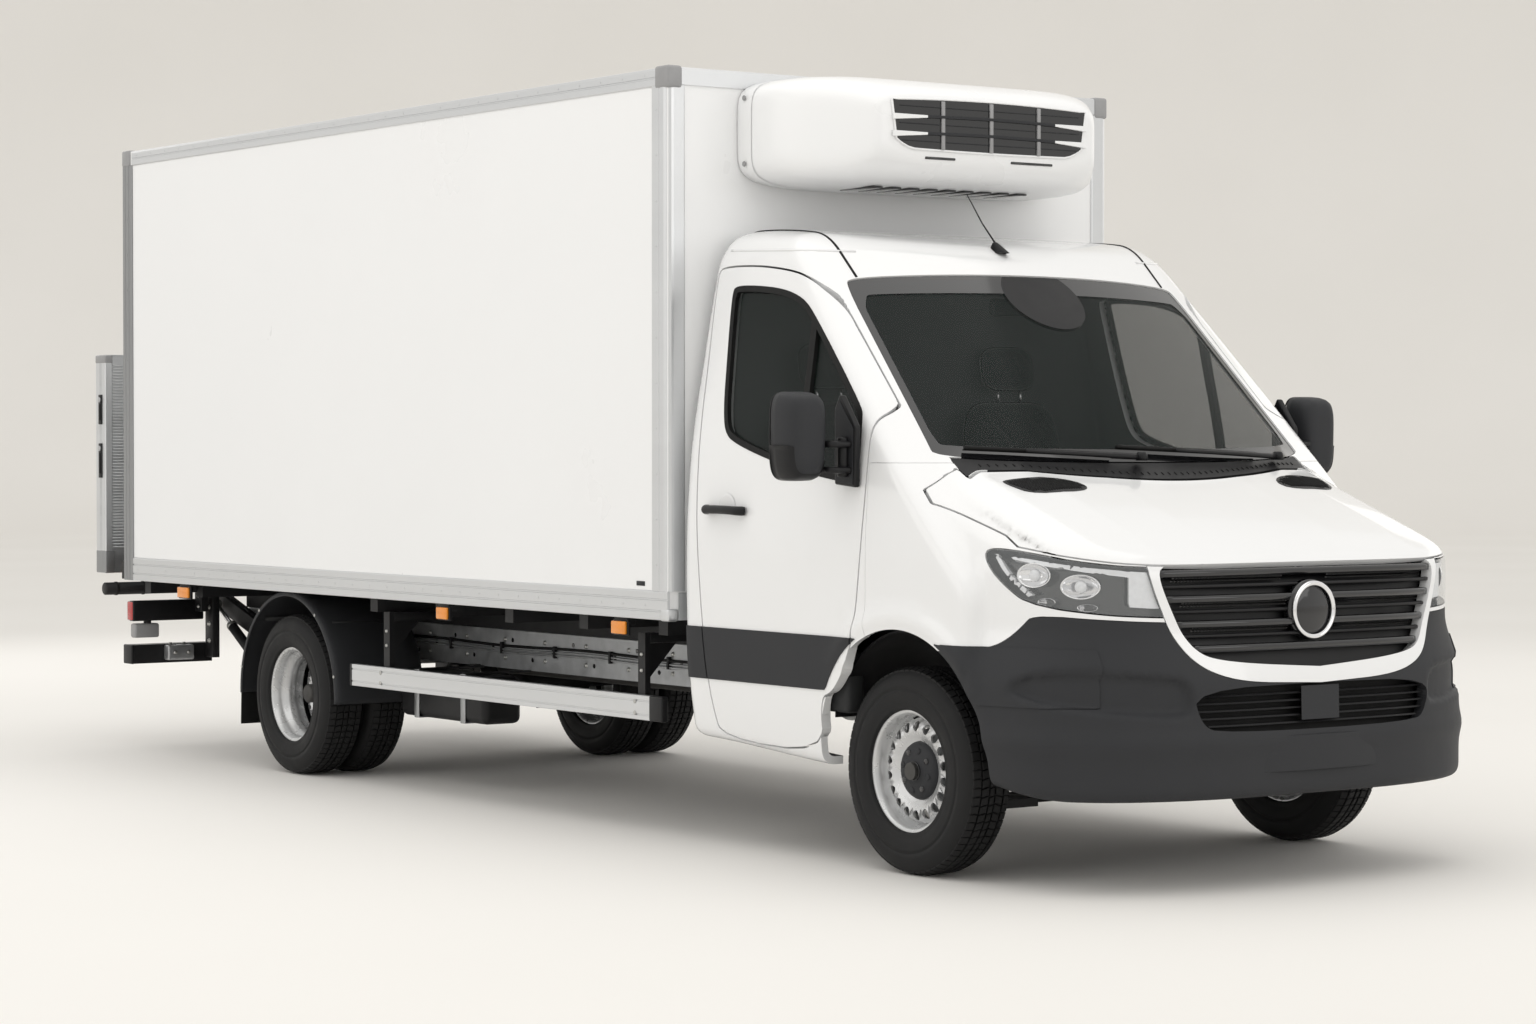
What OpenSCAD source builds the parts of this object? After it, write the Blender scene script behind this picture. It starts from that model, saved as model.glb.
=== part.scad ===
// Refrigerated delivery truck: chassis cab, insulated box body, front-wall
// cooling unit and cantilever tail lift. Millimetres. +Z is up, the truck
// faces -Y, its left side is +X. The origin is on the ground under the
// middle of the whole vehicle.

/* [Chassis] */
// Distance between the front and the rear axle
wheelbase = 4325; // [4000:25:4400]
// Outer radius of every tyre
tyre_r = 348; // [340:1:352]
// Width of one tyre
tyre_w = 195; // [185:1:200]
// Distance between the middles of the two front tyres
front_track = 1710; // [1700:5:1720]
// Distance between the middles of the twin rear tyres
rear_track = 1540; // [1530:5:1550]
// Distance between the middles of two twinned tyres
twin_gap = 215; // [210:1:225]
// Height of a frame rail
rail_h = 165; // [150:5:170]

/* [Load box] */
// Outer width of the load box
box_w = 2084; // [2060:2:2100]
// Outer height of the load box
box_h = 2000; // [1900:10:2050]
// Outer length of the load box
box_l = 4555; // [4500:5:4600]
// Thickness of a side wall
wall_t = 60; // [50:5:70]
// Thickness of the floor
floor_t = 110; // [100:5:120]
// Thickness of the roof
roof_t = 80; // [70:5:90]

/* [Cab] */
// Thickness of the cab's sheet panels with their inner frames
shell_t = 42; // [38:1:46]
// Gap between a door and its frame
door_gap = 10; // [9:1:12]

/* [Tail lift] */
// Height of the platform when it stands upright
platform_l = 1040; // [950:10:1100]
// Thickness of the platform at its hinge
platform_t = 110; // [90:5:115]
// Width of the platform
platform_w = 2010; // [1900:10:2030]

/* [Hidden] */
$fn = 48;
front_y = -1000;                      // foremost point of the bumper
box_y = 1275;                         // front face of the load box
box_z = 800;                          // underside of the load box
box_end = box_y + box_l;              // rear face of the load box
plat_y = box_end + 290;               // loading face of the upright platform
rear_y = box_end + 430;               // rearmost point
ymid = (front_y + rear_y) / 2;        // middle of the whole length
hw = box_w / 2;
rear_y0 = wheelbase;                  // rear axle
ft = front_track / 2;
rt_out = rear_track / 2 + twin_gap / 2;
rt_in = rear_track / 2 - twin_gap / 2;
rail_x = 395;                         // middle of a frame rail
rail_top = 655;
// steering axis: lower ball joint and strut top
kp_lo = [780, 0, 220];
kp_hi = [600, 0, 980];
kp_ang = atan((kp_lo[0] - kp_hi[0]) / (kp_hi[2] - kp_lo[2]));
// tail lift pivots: [y, z]
lift_p = [box_end - 400, 520];
lift_h = [box_end + 320, 745];
plat_p = [box_end + 340, 850];
lift_l = norm(lift_h - lift_p);
lift_a = atan2(lift_h[1] - lift_p[1], lift_h[0] - lift_p[0]);
cyl_p = [box_end - 380, 400];
cyl_q = lift_p + 500 * [cos(lift_a), sin(lift_a)];
cyl_l = norm(cyl_q - cyl_p);
cyl_a = atan2(cyl_q[1] - cyl_p[1], cyl_q[0] - cyl_p[0]);

// outline of the nose at its middle, [y, z], from the bumper up over the hood
nose_side = [[-1010, 250], [-1010, 640], [-985, 760], [-962, 880], [-935, 990], [-895, 1056],
    [-800, 1116], [-700, 1168], [-560, 1230], [-400, 1290], [-280, 1336], [-160, 1372], [-100, 1386],
    [146, 1470], [146, 250]];
// roof and rear outline of the cab at its middle, [y, z]
roof_side = [[-400, 250], [-400, 1500], [330, 2030], [400, 2064], [500, 2104], [620, 2150], [740, 2180], [850, 2200],
    [1000, 2218], [1120, 2226], [1190, 2222], [1222, 2200], [1235, 2150], [1235, 700], [1222, 480], [1196, 250]];
// transverse outline of the cab, right half [x, z] from the sill upward
cab_half = [[955, 250], [970, 330], [986, 420], [1002, 600], [1010, 800], [1011, 950], [1010, 1100], [1005, 1216],
    [992, 1400], [968, 1560], [935, 1730], [905, 1900], [885, 2000], [868, 2090],
    [842, 2140], [792, 2196], [720, 2228], [600, 2243], [300, 2252]];
// crown of the hood across its slope, right half [x, height above the shoulder line]
crown_half = [[1013, -1600], [1013, -700], [1002, -480], [988, -330], [963, -210], [922, -135], [850, -68], [750, -20],
    [580, 10], [300, 20]];
hood_dir = atan2(1386 - 1116, -100 + 800);
// plan outline above the bumper, right half [x, y] from the nose backward
cab_plan = [[0, -962], [200, -957], [400, -938], [560, -908], [690, -862], [780, -800], [850, -715], [905, -600],
    [945, -450], [975, -280], [998, -100], [1012, 100], [1014, 600], [1014, 1200], [1000, 1285]];
// plan outline of the bumper, right half
bump_plan = [[0, -1000], [250, -994], [450, -975], [620, -935], [760, -872], [860, -790], [930, -690],
    [972, -580], [996, -460], [1008, -320], [1012, -200]];
// windscreen: middle of its lower and upper edge [y, z], and its bow across
ws_lo = [-200, 1375];
ws_hi = [490, 2045];
ws_bow = 0.000152;
// door outline, [y, z]
door_out = [[1020, 388], [1060, 500], [1084, 620], [1104, 800], [1132, 1050], [1146, 1216], [1152, 1400],
    [1172, 1730], [1188, 1950], [1194, 2050], [1176, 2078], [965, 2076], [770, 2054], [660, 2030], [575, 1980],
    [440, 1862], [310, 1742], [205, 1648], [152, 1566], [148, 1507], [152, 1269], [172, 1050], [200, 846],
    [215, 770], [262, 680], [340, 590], [408, 575], [408, 378]];
// side window, [y, z]
win_out = [[930, 1440], [1000, 1475], [1030, 1560], [1058, 1750], [1076, 1900], [1084, 1985], [1072, 2006],
    [946, 2004], [770, 1986], [650, 1950], [580, 1903], [400, 1735], [240, 1580], [200, 1530], [192, 1300], [500, 1338], [745, 1390]];
// lower edge of the hood seen from the side, [y, z], and the top of the lamp and the bumper
hood_low = [[-1100, 1040], [-880, 1052], [-510, 1108], [-440, 1143], [-327, 1180], [-140, 1242], [-92, 1290]];
lamp_out = [[-1100, 868], [-600, 918], [-486, 990], [-404, 1074], [-404, 1104], [-520, 1098], [-880, 1043], [-1100, 1031]];
bump_side = [[-1100, 300], [-240, 300], [-240, 762], [-440, 780], [-500, 802], [-560, 852], [-606, 900], [-1100, 851]];
// outline of the grille with its surround, right half [x, z]
surround_half = [[655, 1040], [620, 930], [580, 830], [520, 745], [430, 700], [300, 676], [100, 668]];

function nrm(v) = v / norm(v);
// polygon moved inward by d (points run anticlockwise)
function inset(p, d) = [for (i = [0:len(p) - 1])
    let (a = p[(i + len(p) - 1) % len(p)], b = p[i], c = p[(i + 1) % len(p)],
         e1 = nrm(b - a), e2 = nrm(c - b), n1 = [-e1[1], e1[0]], n2 = [-e2[1], e2[0]],
         m = (n1 + n2) / (1 + n1 * n2)) b + d * m];
function rev(p) = [for (i = [len(p) - 1:-1:0]) p[i]];
function mir(p) = [for (i = [len(p) - 1:-1:0]) [-p[i][0], p[i][1]]];
function full(h) = concat(h, mir(h));

module F() { translate([0, -ymid, 0]) children(); }
module both() { children(); mirror([1, 0, 0]) children(); }
// prism of a [y, z] outline across x
module side_prism(p, x0, x1) {
    translate([x0, 0, 0]) rotate([90, 0, 90]) linear_extrude(x1 - x0) polygon(p);
}
// prism of an [x, z] outline along y
module front_prism(p, y0, y1) {
    translate([0, y1, 0]) rotate([90, 0, 0]) linear_extrude(y1 - y0) polygon(p);
}
module plan_prism(p, z0, z1) { translate([0, 0, z0]) linear_extrude(z1 - z0) polygon(p); }
module bx(a, b) { translate(a) cube(b - a); }
module xcyl(r, x0, x1, y, z, f = 48) { translate([x0, y, z]) rotate([0, 90, 0]) cylinder(r = r, h = x1 - x0, $fn = f); }
module ycyl(r, y0, y1, x, z, f = 32) { translate([x, y1, z]) rotate([90, 0, 0]) cylinder(r = r, h = y1 - y0, $fn = f); }

half_ccw = full(cab_half);
plan_ccw = concat([for (i = [len(cab_plan) - 1:-1:1]) [-cab_plan[i][0], cab_plan[i][1]]], cab_plan);
bump_ccw = concat([for (i = [len(bump_plan) - 1:-1:1]) [-bump_plan[i][0], bump_plan[i][1]]], bump_plan);
surround_ccw = concat([for (p = surround_half) [-p[0], p[1]]], [for (i = [len(surround_half) - 1:-1:0]) surround_half[i]]);

// the bowed block behind the windscreen, moved back by d
module ws_block(d) translate([0, ws_lo[0], ws_lo[1]]) rotate([-atan2(ws_hi[0] - ws_lo[0], ws_hi[1] - ws_lo[1]), 0, 0])
    translate([0, 0, -1500]) linear_extrude(4000)
        polygon(concat([for (x = [-1100:100:1100]) [x, ws_bow * x * x + d]], [[1100, 2600], [-1100, 2600]]));
// the crowned block under the hood, lowered by d
module crown_block(d) translate([0, -800, 1116]) rotate([90 + hood_dir, 0, 0]) translate([0, 0, -1400])
    linear_extrude(2400) polygon(inset(full(crown_half), d));
// greenhouse and rear half of the cab
module upper(d = 0) intersection() {
    side_prism(inset(rev(roof_side), d), -1100, 1100);
    front_prism(inset(half_ccw, d), -1100, 1400);
    ws_block(d);
}
// nose of the cab
function nose_open(e) = [for (p = nose_side) p[0] > 140 ? [p[0] + e, p[1] + e * 0.34] : p];
module nose(d = 0, e = 0) intersection() {
    side_prism(inset(rev(nose_open(e)), d), -1100, 1100);
    crown_block(d);
    plan_prism(inset(plan_ccw, d), 200, 1500);
}
module arch(r = 450) { xcyl(r, -1100, 1100, -25, 375, 64); }

module cab_body() color("white") F() difference() {
    upper();
    upper(shell_t);
    // door openings, with the windscreen pillars left standing
    difference() {
        side_prism(inset(door_out, -door_gap), -1100, 1100);
        front_prism([[-868, 1300], [868, 1300], [800, 2060], [-800, 2060]], -400, 612);
    }
    both() translate([990, 220, 340]) cylinder(r = 31, h = 1060);
    // windscreen opening
    intersection() {
        front_prism([[-836, 1404], [836, 1404], [768, 2006], [-768, 2006]], -320, 900);
        bx([-1100, -320, 1400], [1100, 640, 2100]);
    }
    // the nose and the wheel arches belong to other pieces
    bx([-1100, -1100, 200], [1100, 148, 1388]);
    bx([-1100, -1100, 200], [1100, -70, 1500]);
    arch(470);
    bx([-1100, -1100, 200], [1100, 400, 340]);
    bx([-890, -100, 200], [890, 1300, 660]);
}
module cab_floor() color("dimgray") F() {
    bx([-925, 430, 662], [925, 1188, 700]);
    difference() {
        union() {
            bx([-880, 60, 662], [880, 430, 700]);
            bx([-530, 20, 662], [530, 60, 1300]);
            both() bx([529, 20, 985], [850, 60, 1300]);
        }
        both() xcyl(480, 500, 1100, -25, 375, 64);
    }
}
// black inner arches over the front wheels
module wheel_liners() color("#222") F() both() difference() {
    xcyl(448, 500, 945, -25, 375, 64);
    xcyl(440, 499, 946, -25, 375, 64);
    bx([400, -600, -200], [1100, 600, 420]);
    // room for the strut and for the door
    bx([400, -112, 600], [762, 112, 900]);
    bx([400, 396, 300], [1100, 600, 600]);
}
module fender_zone() side_prism(concat([[-398, 330], [138, 330], [138, 1376], [-84, 1376], [-84, 1282]],
    [for (i = [5:-1:3]) hood_low[i] + [-4, -8]], [[-398, 1150]]), 600, 1100);
module fenders() color("white") F() both() difference() {
    intersection() {
        nose();
        fender_zone();
    }
    nose(28, 100);
    arch(450);
    side_prism(inset(bump_side, -4), 0, 1100);
    side_prism(inset(lamp_out, -4), 600, 1100);
}
module hood() color("white") F() difference() {
    intersection() {
        nose();
        side_prism(concat(hood_low, [[-92, 1500], [-1100, 1500]]), -1100, 1100);
    }
    nose(32);
    ws_block(-62);
}
// black scuttle panel between the hood and the windscreen, under the wipers
module cowl() color("#222") F() difference() {
    intersection() {
        nose(2);
        ws_block(-56);
        bx([-800, -420, 1280], [800, -60, 1384]);
    }
    nose(22, 100);
    both() fender_zone();
}
module windscreen() color([0.25, 0.3, 0.3, 0.6]) F() intersection() {
    difference() { ws_block(8); ws_block(14); }
    front_prism([[-828, 1410], [828, 1410], [760, 2000], [-760, 2000]], -300, 900);
}
// strip between two insets of the plan outline
module plan_strip(p, d0, d1, z0, z1) difference() {
    plan_prism(inset(p, d0), z0, z1);
    plan_prism(inset(p, d1), z0 - 1, z1 + 1);
}
module grille() color("black") F() intersection() {
    plan_strip(plan_ccw, 14, 70, 668, 1040);
    front_prism(inset(surround_ccw, 3), -1100, -700);
}
module headlights() color("silver") F() both() difference() {
    intersection() {
        plan_strip(plan_ccw, 6, 90, 800, 1110);
        side_prism(lamp_out, 500, 1100);
    }
    front_prism(inset(surround_ccw, -4), -1100, -700);
}
module front_bumper() color("#3d3d40") F() difference() {
    intersection() {
        union() {
            plan_strip(bump_ccw, 0, 60, 330, 760);
            plan_strip(plan_ccw, 0, 60, 760, 905);
        }
        side_prism(bump_side, -1100, 1100);
    }
    arch(460);
    bx([-420, -1100, 540], [420, -900, 645]);
    front_prism(inset(surround_ccw, -1), -1100, -700);
}
module door_panel() difference() {
    intersection() {
        upper();
        side_prism(door_out, 600, 1100);
    }
    upper(50);
    side_prism(win_out, 600, 1100);
    front_prism(inset(half_ccw, 50), 600, 1300);
    front_prism([[-898, 1290], [898, 1290], [822, 2070], [-822, 2070]], -400, 622);
}
module door_left() color("white") F() door_panel();
module door_right() color("white") F() mirror([1, 0, 0]) door_panel();
module door_pane() intersection() {
    difference() { upper(18); upper(24); }
    side_prism(inset(win_out, 0.3), 600, 1100);
}
module door_glass_left() color([0.25, 0.3, 0.3, 0.6]) F() door_pane();
module door_glass_right() color([0.25, 0.3, 0.3, 0.6]) F() mirror([1, 0, 0]) door_pane();
module mirror_unit() {
    side_prism([[172, 1290], [290, 1300], [290, 1560], [262, 1610], [172, 1500]], 1004, 1030);
    bx([1030, 192, 1340], [1106, 248, 1362]);
    bx([1030, 192, 1428], [1106, 248, 1450]);
    intersection() {
        side_prism([[200, 1345], [215, 1322], [325, 1316], [330, 1345], [330, 1590], [318, 1614], [232, 1616], [205, 1592]], 1100, 1280);
        plan_prism([[1105, 235], [1142, 200], [1240, 204], [1270, 230], [1272, 330], [1105, 330]], 1300, 1630);
    }
}
module mirror_left() color("#2a2a2c") F() mirror_unit();
module mirror_right() color("#2a2a2c") F() mirror([1, 0, 0]) mirror_unit();

module dashboard() color("#222") F() {
    side_prism([[70, 1000], [240, 960], [290, 1080], [270, 1270], [200, 1330], [70, 1330]], -830, 830);
    // steering column with the stub that the wheel turns on
    translate(sw_c) rotate([-40, 0, 0]) {
        translate([0, 0, -230]) cylinder(r = 42, h = 195);
        translate([0, 0, -60]) cylinder(r = 13.95, h = 55);
    }
}
module seat(x) {
    bx([x - 240, 560, 760], [x + 240, 1080, 980]);
    bx([x - 200, 600, 701], [x + 200, 1040, 760]);
    side_prism([[985, 980], [1105, 980], [1182, 1600], [1092, 1600]], x - 235, x + 235);
    side_prism([[1092, 1640], [1172, 1640], [1182, 1810], [1112, 1810]], x - 130, x + 130);
    bx([x - 60, 1112, 1600], [x + 60, 1152, 1640]);
}
module seats() color("#333") F() { seat(430); seat(-430); }
sw_c = [430, 470, 1210];
module steering_wheel() color("#222") F() translate(sw_c) rotate([-40, 0, 0]) {
    difference() {
        union() {
            rotate_extrude($fn = 64) translate([190, 0]) circle(r = 15, $fn = 24);
            cylinder(r = 60, h = 40, center = true);
            for (a = [0, 180, 270]) rotate([0, 0, a]) translate([50, -18, -8]) cube([132, 36, 16]);
        }
        translate([0, 0, -30]) cylinder(r = 14, h = 30);
    }
}

module rail_profile() polygon([[-35, 0], [35, 0], [35, 6], [-29, 6], [-29, rail_h - 6], [35, rail_h - 6], [35, rail_h], [-35, rail_h]]);
module rail(x, s) translate([x, box_end - 60, rail_top - rail_h]) rotate([90, 0, 0])
    linear_extrude(box_end - 60 + 800) scale([s, 1]) rail_profile();
module chassis_rails() color("silver") F() { rail(-rail_x, 1); rail(rail_x, -1); }
module chassis_crossmembers() color("#222") F()
    for (y = [-765, 640, 1500, 2600, 3700, box_end - 200])
        bx([-rail_x + 30, y - 35, rail_top - rail_h + 8], [rail_x - 30, y + 35, rail_top - 8]);
module body_subframe() color("#222") F() {
    both() bx([rail_x - 30, box_y + 20, rail_top], [rail_x + 30, box_end - 30, 740]);
    // cross bearers, short ones over the rear wheels
    for (i = [0:8]) let (y = box_y + 120 + i * (box_l - 240) / 8, w = abs(y - rear_y0) < 470 ? 540 : hw - 60)
        bx([-w, y - 30, 740], [w, y + 30, box_z]);
}
module engine_block() color("#333") F() {
    bx([-210, -640, 420], [210, -20, 980]);
    bx([-140, -20, 380], [140, 560, 600]);
}
module propeller_shaft() color("#333") F() {
    ycyl(38, 562, rear_y0 - 170, 0, 450);
}
module front_subframe() color("#222") F() {
    strut_springs();
    rack_tube();
    bx([-420, -180, 256], [420, 160, 330]);
    both() {
        bx([340, -120, 330], [440, -60, rail_top - rail_h]);
        bx([340, 60, 330], [440, 120, rail_top - rail_h]);
        side_prism([[-60, 205], [60, 205], [60, 235], [-60, 235]], 422, 720);
        difference() {
            union() {
                bx([360, -800, 400], [372, -700, rail_top - rail_h]);
                bx([360, -800, 388], [450, -700, 400]);
            }
            translate([408, -750, 380]) cylinder(r = 16, h = 30, $fn = 48);
        }
    }
}
module strut_axis() { translate(kp_lo) rotate([0, -kp_ang, 0]) children(); }
module strut_springs() both() strut_axis() {
    difference() {
        translate([0, 0, 520]) cylinder(r = 68, h = 240);
        translate([0, 0, 500]) cylinder(r = 40, h = 200);
    }
}
module knuckle() {
    strut_axis() {
        translate([0, 0, 0]) cylinder(r = 24, h = 80);
        translate([0, 0, 80]) cylinder(r = 27, h = 420);
        translate([0, 0, 500]) cylinder(r = 12, h = 190);
    }
    xcyl(60, 726, 800, 0, tyre_r);
    xcyl(29, 800, 930, 0, tyre_r);
    plan_prism([[720, 0], [788, 0], [728, 142], [676, 134]], 270, 300);
    translate([702, 134, 270]) cylinder(r = 27, h = 30);
}
module knuckle_left() color("#333") F() knuckle();
module knuckle_right() color("#333") F() mirror([1, 0, 0]) knuckle();
module tie_rods() color("#444") F() {
    xcyl(14, -690, 690, 134, 222);
    both() translate([702, 134, 206]) cylinder(r = 21, h = 32);
}
module rack_tube() difference() {
    xcyl(30, -300, 300, 134, 222);
    xcyl(18, -301, 301, 134, 222);
}
module tyre(r = tyre_r, w = tyre_w) rotate([0, 90, 0]) rotate_extrude($fn = 96)
    polygon([[204, -w / 2 + 18], [r - 60, -w / 2], [r - 14, -w / 2 + 10], [r, -w / 2 + 28], [r, w / 2 - 28],
             [r - 14, w / 2 - 10], [r - 60, w / 2], [204, w / 2 - 18]]);
// rim with its disc at dx from the middle, outer face toward +x
module rim(dx) rotate([0, 90, 0]) difference() {
    union() {
        rotate_extrude($fn = 96) polygon([[190, -76], [203.5, -76], [203.5, 76], [190, 76]]);
        translate([0, 0, dx - 6]) cylinder(r = 192, h = 12, $fn = 96);
        translate([0, 0, dx - 6]) cylinder(r = 80, h = 45);
    }
    translate([0, 0, dx - 80]) cylinder(r = 30, h = 160);
    for (i = [0:17]) rotate([0, 0, i * 20]) translate([158, 0, dx - 20]) cylinder(r = 15, h = 40, $fn = 24);
}
module front_wheel_left() color("silver") F() translate([ft, 0, tyre_r]) rim(40);
module front_wheel_right() color("silver") F() mirror([1, 0, 0]) translate([ft, 0, tyre_r]) rim(40);
module front_tyre_left() color("#1a1a1a") F() translate([ft, 0, tyre_r]) tyre();
module front_tyre_right() color("#1a1a1a") F() mirror([1, 0, 0]) translate([ft, 0, tyre_r]) tyre();
module twin_rims() {
    difference() {
        union() {
            translate([rt_out, rear_y0, tyre_r]) rim(-95);
            translate([rt_in, rear_y0, tyre_r]) mirror([1, 0, 0]) rim(-95);
        }
        xcyl(30, 500, 1000, rear_y0, tyre_r);
    }
}
module twin_tyres() {
    translate([rt_out, rear_y0, tyre_r]) tyre();
    translate([rt_in, rear_y0, tyre_r]) tyre();
}
module rear_wheels_left() color("silver") F() twin_rims();
module rear_wheels_right() color("silver") F() mirror([1, 0, 0]) twin_rims();
module rear_tyres_left() color("#1a1a1a") F() twin_tyres();
module rear_tyres_right() color("#1a1a1a") F() mirror([1, 0, 0]) twin_tyres();
module rear_axle() color("#222") F() translate([0, rear_y0, tyre_r]) rotate([0, 90, 0]) {
    // one turned beam: spindles, tubes and the swollen middle with the final drive
    rotate_extrude($fn = 72) polygon([[0, -850], [29, -850], [29, -560], [48, -560], [48, -230], [70, -190], [140, -110],
        [165, -40], [165, 40], [140, 110], [70, 190], [48, 230], [48, 560], [29, 560], [29, 850], [0, 850]]);
}
module leaf_springs() color("#222") F() both() {
    side_prism([[rear_y0 - 700, 470], [rear_y0 - 690, 450], [rear_y0, 400], [rear_y0 + 690, 450], [rear_y0 + 700, 470],
        [rear_y0, 440]], 470, 545);
    bx([470, rear_y0 - 60, tyre_r + 48], [545, rear_y0 + 60, 402]);
    bx([437, rear_y0 - 720, 440], [560, rear_y0 - 690, 500]);
    bx([437, rear_y0 + 690, 440], [560, rear_y0 + 720, 500]);
}
module fuel_tank() color("#1c1c1c") F() bx([-750, 3050, 285], [-565, 3750, 485]);
module exhaust() color("gray") F() { ycyl(90, 1700, 2400, 620, 380); ycyl(30, 600, 1700, 500, 380); }

module cargo_floor() color("#ddd") F() {
    bx([-hw + wall_t, box_y + 80, box_z], [hw - wall_t, box_end - 100, box_z + floor_t]);
    // threshold below the shutter, a little lower than the floor
    bx([-hw, box_end - 100, box_z], [hw, box_end, box_z + floor_t - 1]);
}
module cargo_roof() color("white") F() bx([-hw, box_y, box_z + box_h - roof_t], [hw, box_end, box_z + box_h]);
module cargo_sides() color("white") F() both()
    bx([hw - wall_t, box_y, box_z], [hw, box_end - 100, box_z + box_h - roof_t]);
module cargo_front_wall() color("white") F()
    bx([-hw + wall_t, box_y, box_z], [hw - wall_t, box_y + 80, box_z + box_h - roof_t]);
module cargo_rear_frame() color("#777") F() difference() {
    bx([-hw, box_end - 100, box_z + floor_t - 1], [hw, box_end, box_z + box_h - roof_t]);
    bx([-hw + 80, box_end - 101, box_z + floor_t - 2], [hw - 80, box_end + 1, box_z + box_h - roof_t - 60]);
    // tracks for the curtain
    bx([-hw + 60, box_end - 70, box_z + floor_t - 2], [hw - 60, box_end - 30, box_z + box_h - roof_t - 60]);
}
module cargo_trim() color("silver") F() both() {
    bx([hw, box_y - 3, box_z], [hw + 3, box_end, box_z + 105]);
    bx([hw, box_y - 3, box_z + box_h - 65], [hw + 3, box_end, box_z + box_h]);
    bx([hw, box_y - 3, box_z + 105], [hw + 3, box_y + 100, box_z + box_h - 65]);
    bx([hw - 70, box_y - 3, box_z], [hw, box_y, box_z + box_h]);
}
module shutter_bar() color("silver") F()
    bx([-hw + 85, box_end - 66, box_z + floor_t + 1], [hw - 85, box_end - 34, box_z + floor_t + 60]);
module shutter_curtain() color("white") F()
    bx([-hw + 85, box_end - 62, box_z + floor_t + 61], [hw - 85, box_end - 38, box_z + box_h - roof_t - 61]);
module refrigeration_unit() color("white") F() {
    side_prism([[box_y - 3.5, 2380], [1240, 2370], [720, 2400], [640, 2480], [640, 2640], [700, 2720], [1200, 2780], [box_y - 3.5, 2780]], -740, 740);
}
module evaporator() color("white") F() bx([-600, box_y + 81, 2480], [600, box_y + 560, box_z + box_h - roof_t]);

module side_guards() color("silver") F() both() {
    bx([955, 1400, 420], [985, 3757, 512]);
    for (y = [1580, 3495]) {
        bx([930, y - 25, 420], [955, y + 25, 740]);
        bx([700, y - 25, 700], [930, y + 25, 740]);
    }
}
module mudguards() color("#1c1c1c") F() both() difference() {
    xcyl(450, 560, 985, rear_y0, 350, 64);
    xcyl(438, 550, 1000, rear_y0, 350, 64);
    bx([500, rear_y0 - 600, -200], [1000, rear_y0 + 600, 330]);
}
module tail_lamps() color("#222") F() both() {
    bx([630, box_end + 5, 600], [1000, box_end + 75, 700]);
    bx([640, box_end - 60, 640], [680, box_end + 5, 740]);
}
module underrun_bar() color("#1c1c1c") F() {
    both() {
        bx([580, box_end + 20, 400], [1000, box_end + 110, 490]);
        bx([580, box_end - 60, 420], [620, box_end + 20, 740]);
    }
}
module lift_frame() color("#333") F() {
    // sill that bridges the gap behind the load floor
    bx([-hw + 40, box_end, 800], [hw - 40, box_end + 120, 885]);
    difference() {
        union() {
            xcyl(45, -436, 436, lift_p[0], lift_p[1] - 100);
            both() bx([436, lift_p[0] - 60, 330], [446, lift_p[0] + 60, 650]);
            both() bx([446, cyl_p[0] - 20, 360], [500, cyl_p[0] + 20, 380]);
        }
        xcyl(22.05, -500, 500, lift_p[0], lift_p[1]);
    }
    both() xcyl(11.95, 446, 556, cyl_p[0], cyl_p[1]);
}
module lift_arms() color("#222") F() both() {
    translate([0, lift_p[0], lift_p[1]]) rotate([lift_a, 0, 0]) difference() {
        union() {
            bx([450, 0, -40], [500, lift_l, 40]);
            xcyl(44, 450, 500, 0, 0);
            xcyl(42, 450, 500, lift_l, 0);
        }
        xcyl(30.05, 440, 510, lift_l, 0);
    }
    xcyl(22, 436, 450, lift_p[0], lift_p[1]);
}
module lift_head() color("gray") F() {
    xcyl(30, -1000, 1000, lift_h[0], lift_h[1]);
    both() translate([506, 0, 0]) difference() {
        side_prism([[lift_h[0] - 26, lift_h[1]], [lift_h[0] + 26, lift_h[1]], [plat_p[0] + 24, plat_p[1] + 14],
            [plat_p[0] - 24, plat_p[1] + 14]], 0, 30);
        xcyl(14.05, -1, 31, plat_p[0], plat_p[1]);
    }
}
module lift_platform() color("silver") F() {
    difference() {
        bx([-platform_w / 2, plat_y, 820], [platform_w / 2, plat_y + platform_t, 820 + platform_l]);
        both() bx([444, plat_y - 1, 800], [542, plat_y + platform_t + 1, 925]);
    }
    both() xcyl(14, 443, 543, plat_p[0], plat_p[1]);
}
// lift cylinders below the arms, lower pivot and pin on the arm: [y, z]
module lift_barrels() color("#333") F() both() translate([532, cyl_p[0], cyl_p[1]]) rotate([cyl_a, 0, 0]) difference() {
    union() {
        xcyl(26, -20, 20, 0, 0);
        ycyl(24, 20, 350, 0, 0);
    }
    ycyl(12.1, 60, 351, 0, 0);
    xcyl(12, -21, 21, 0, 0);
}
module lift_rods() color("silver") F() both() translate([532, cyl_p[0], cyl_p[1]]) rotate([cyl_a, 0, 0]) {
    ycyl(12, 200, cyl_l - 18, 0, 0);
    xcyl(22, -20, 20, cyl_l, 0);
}

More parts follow.
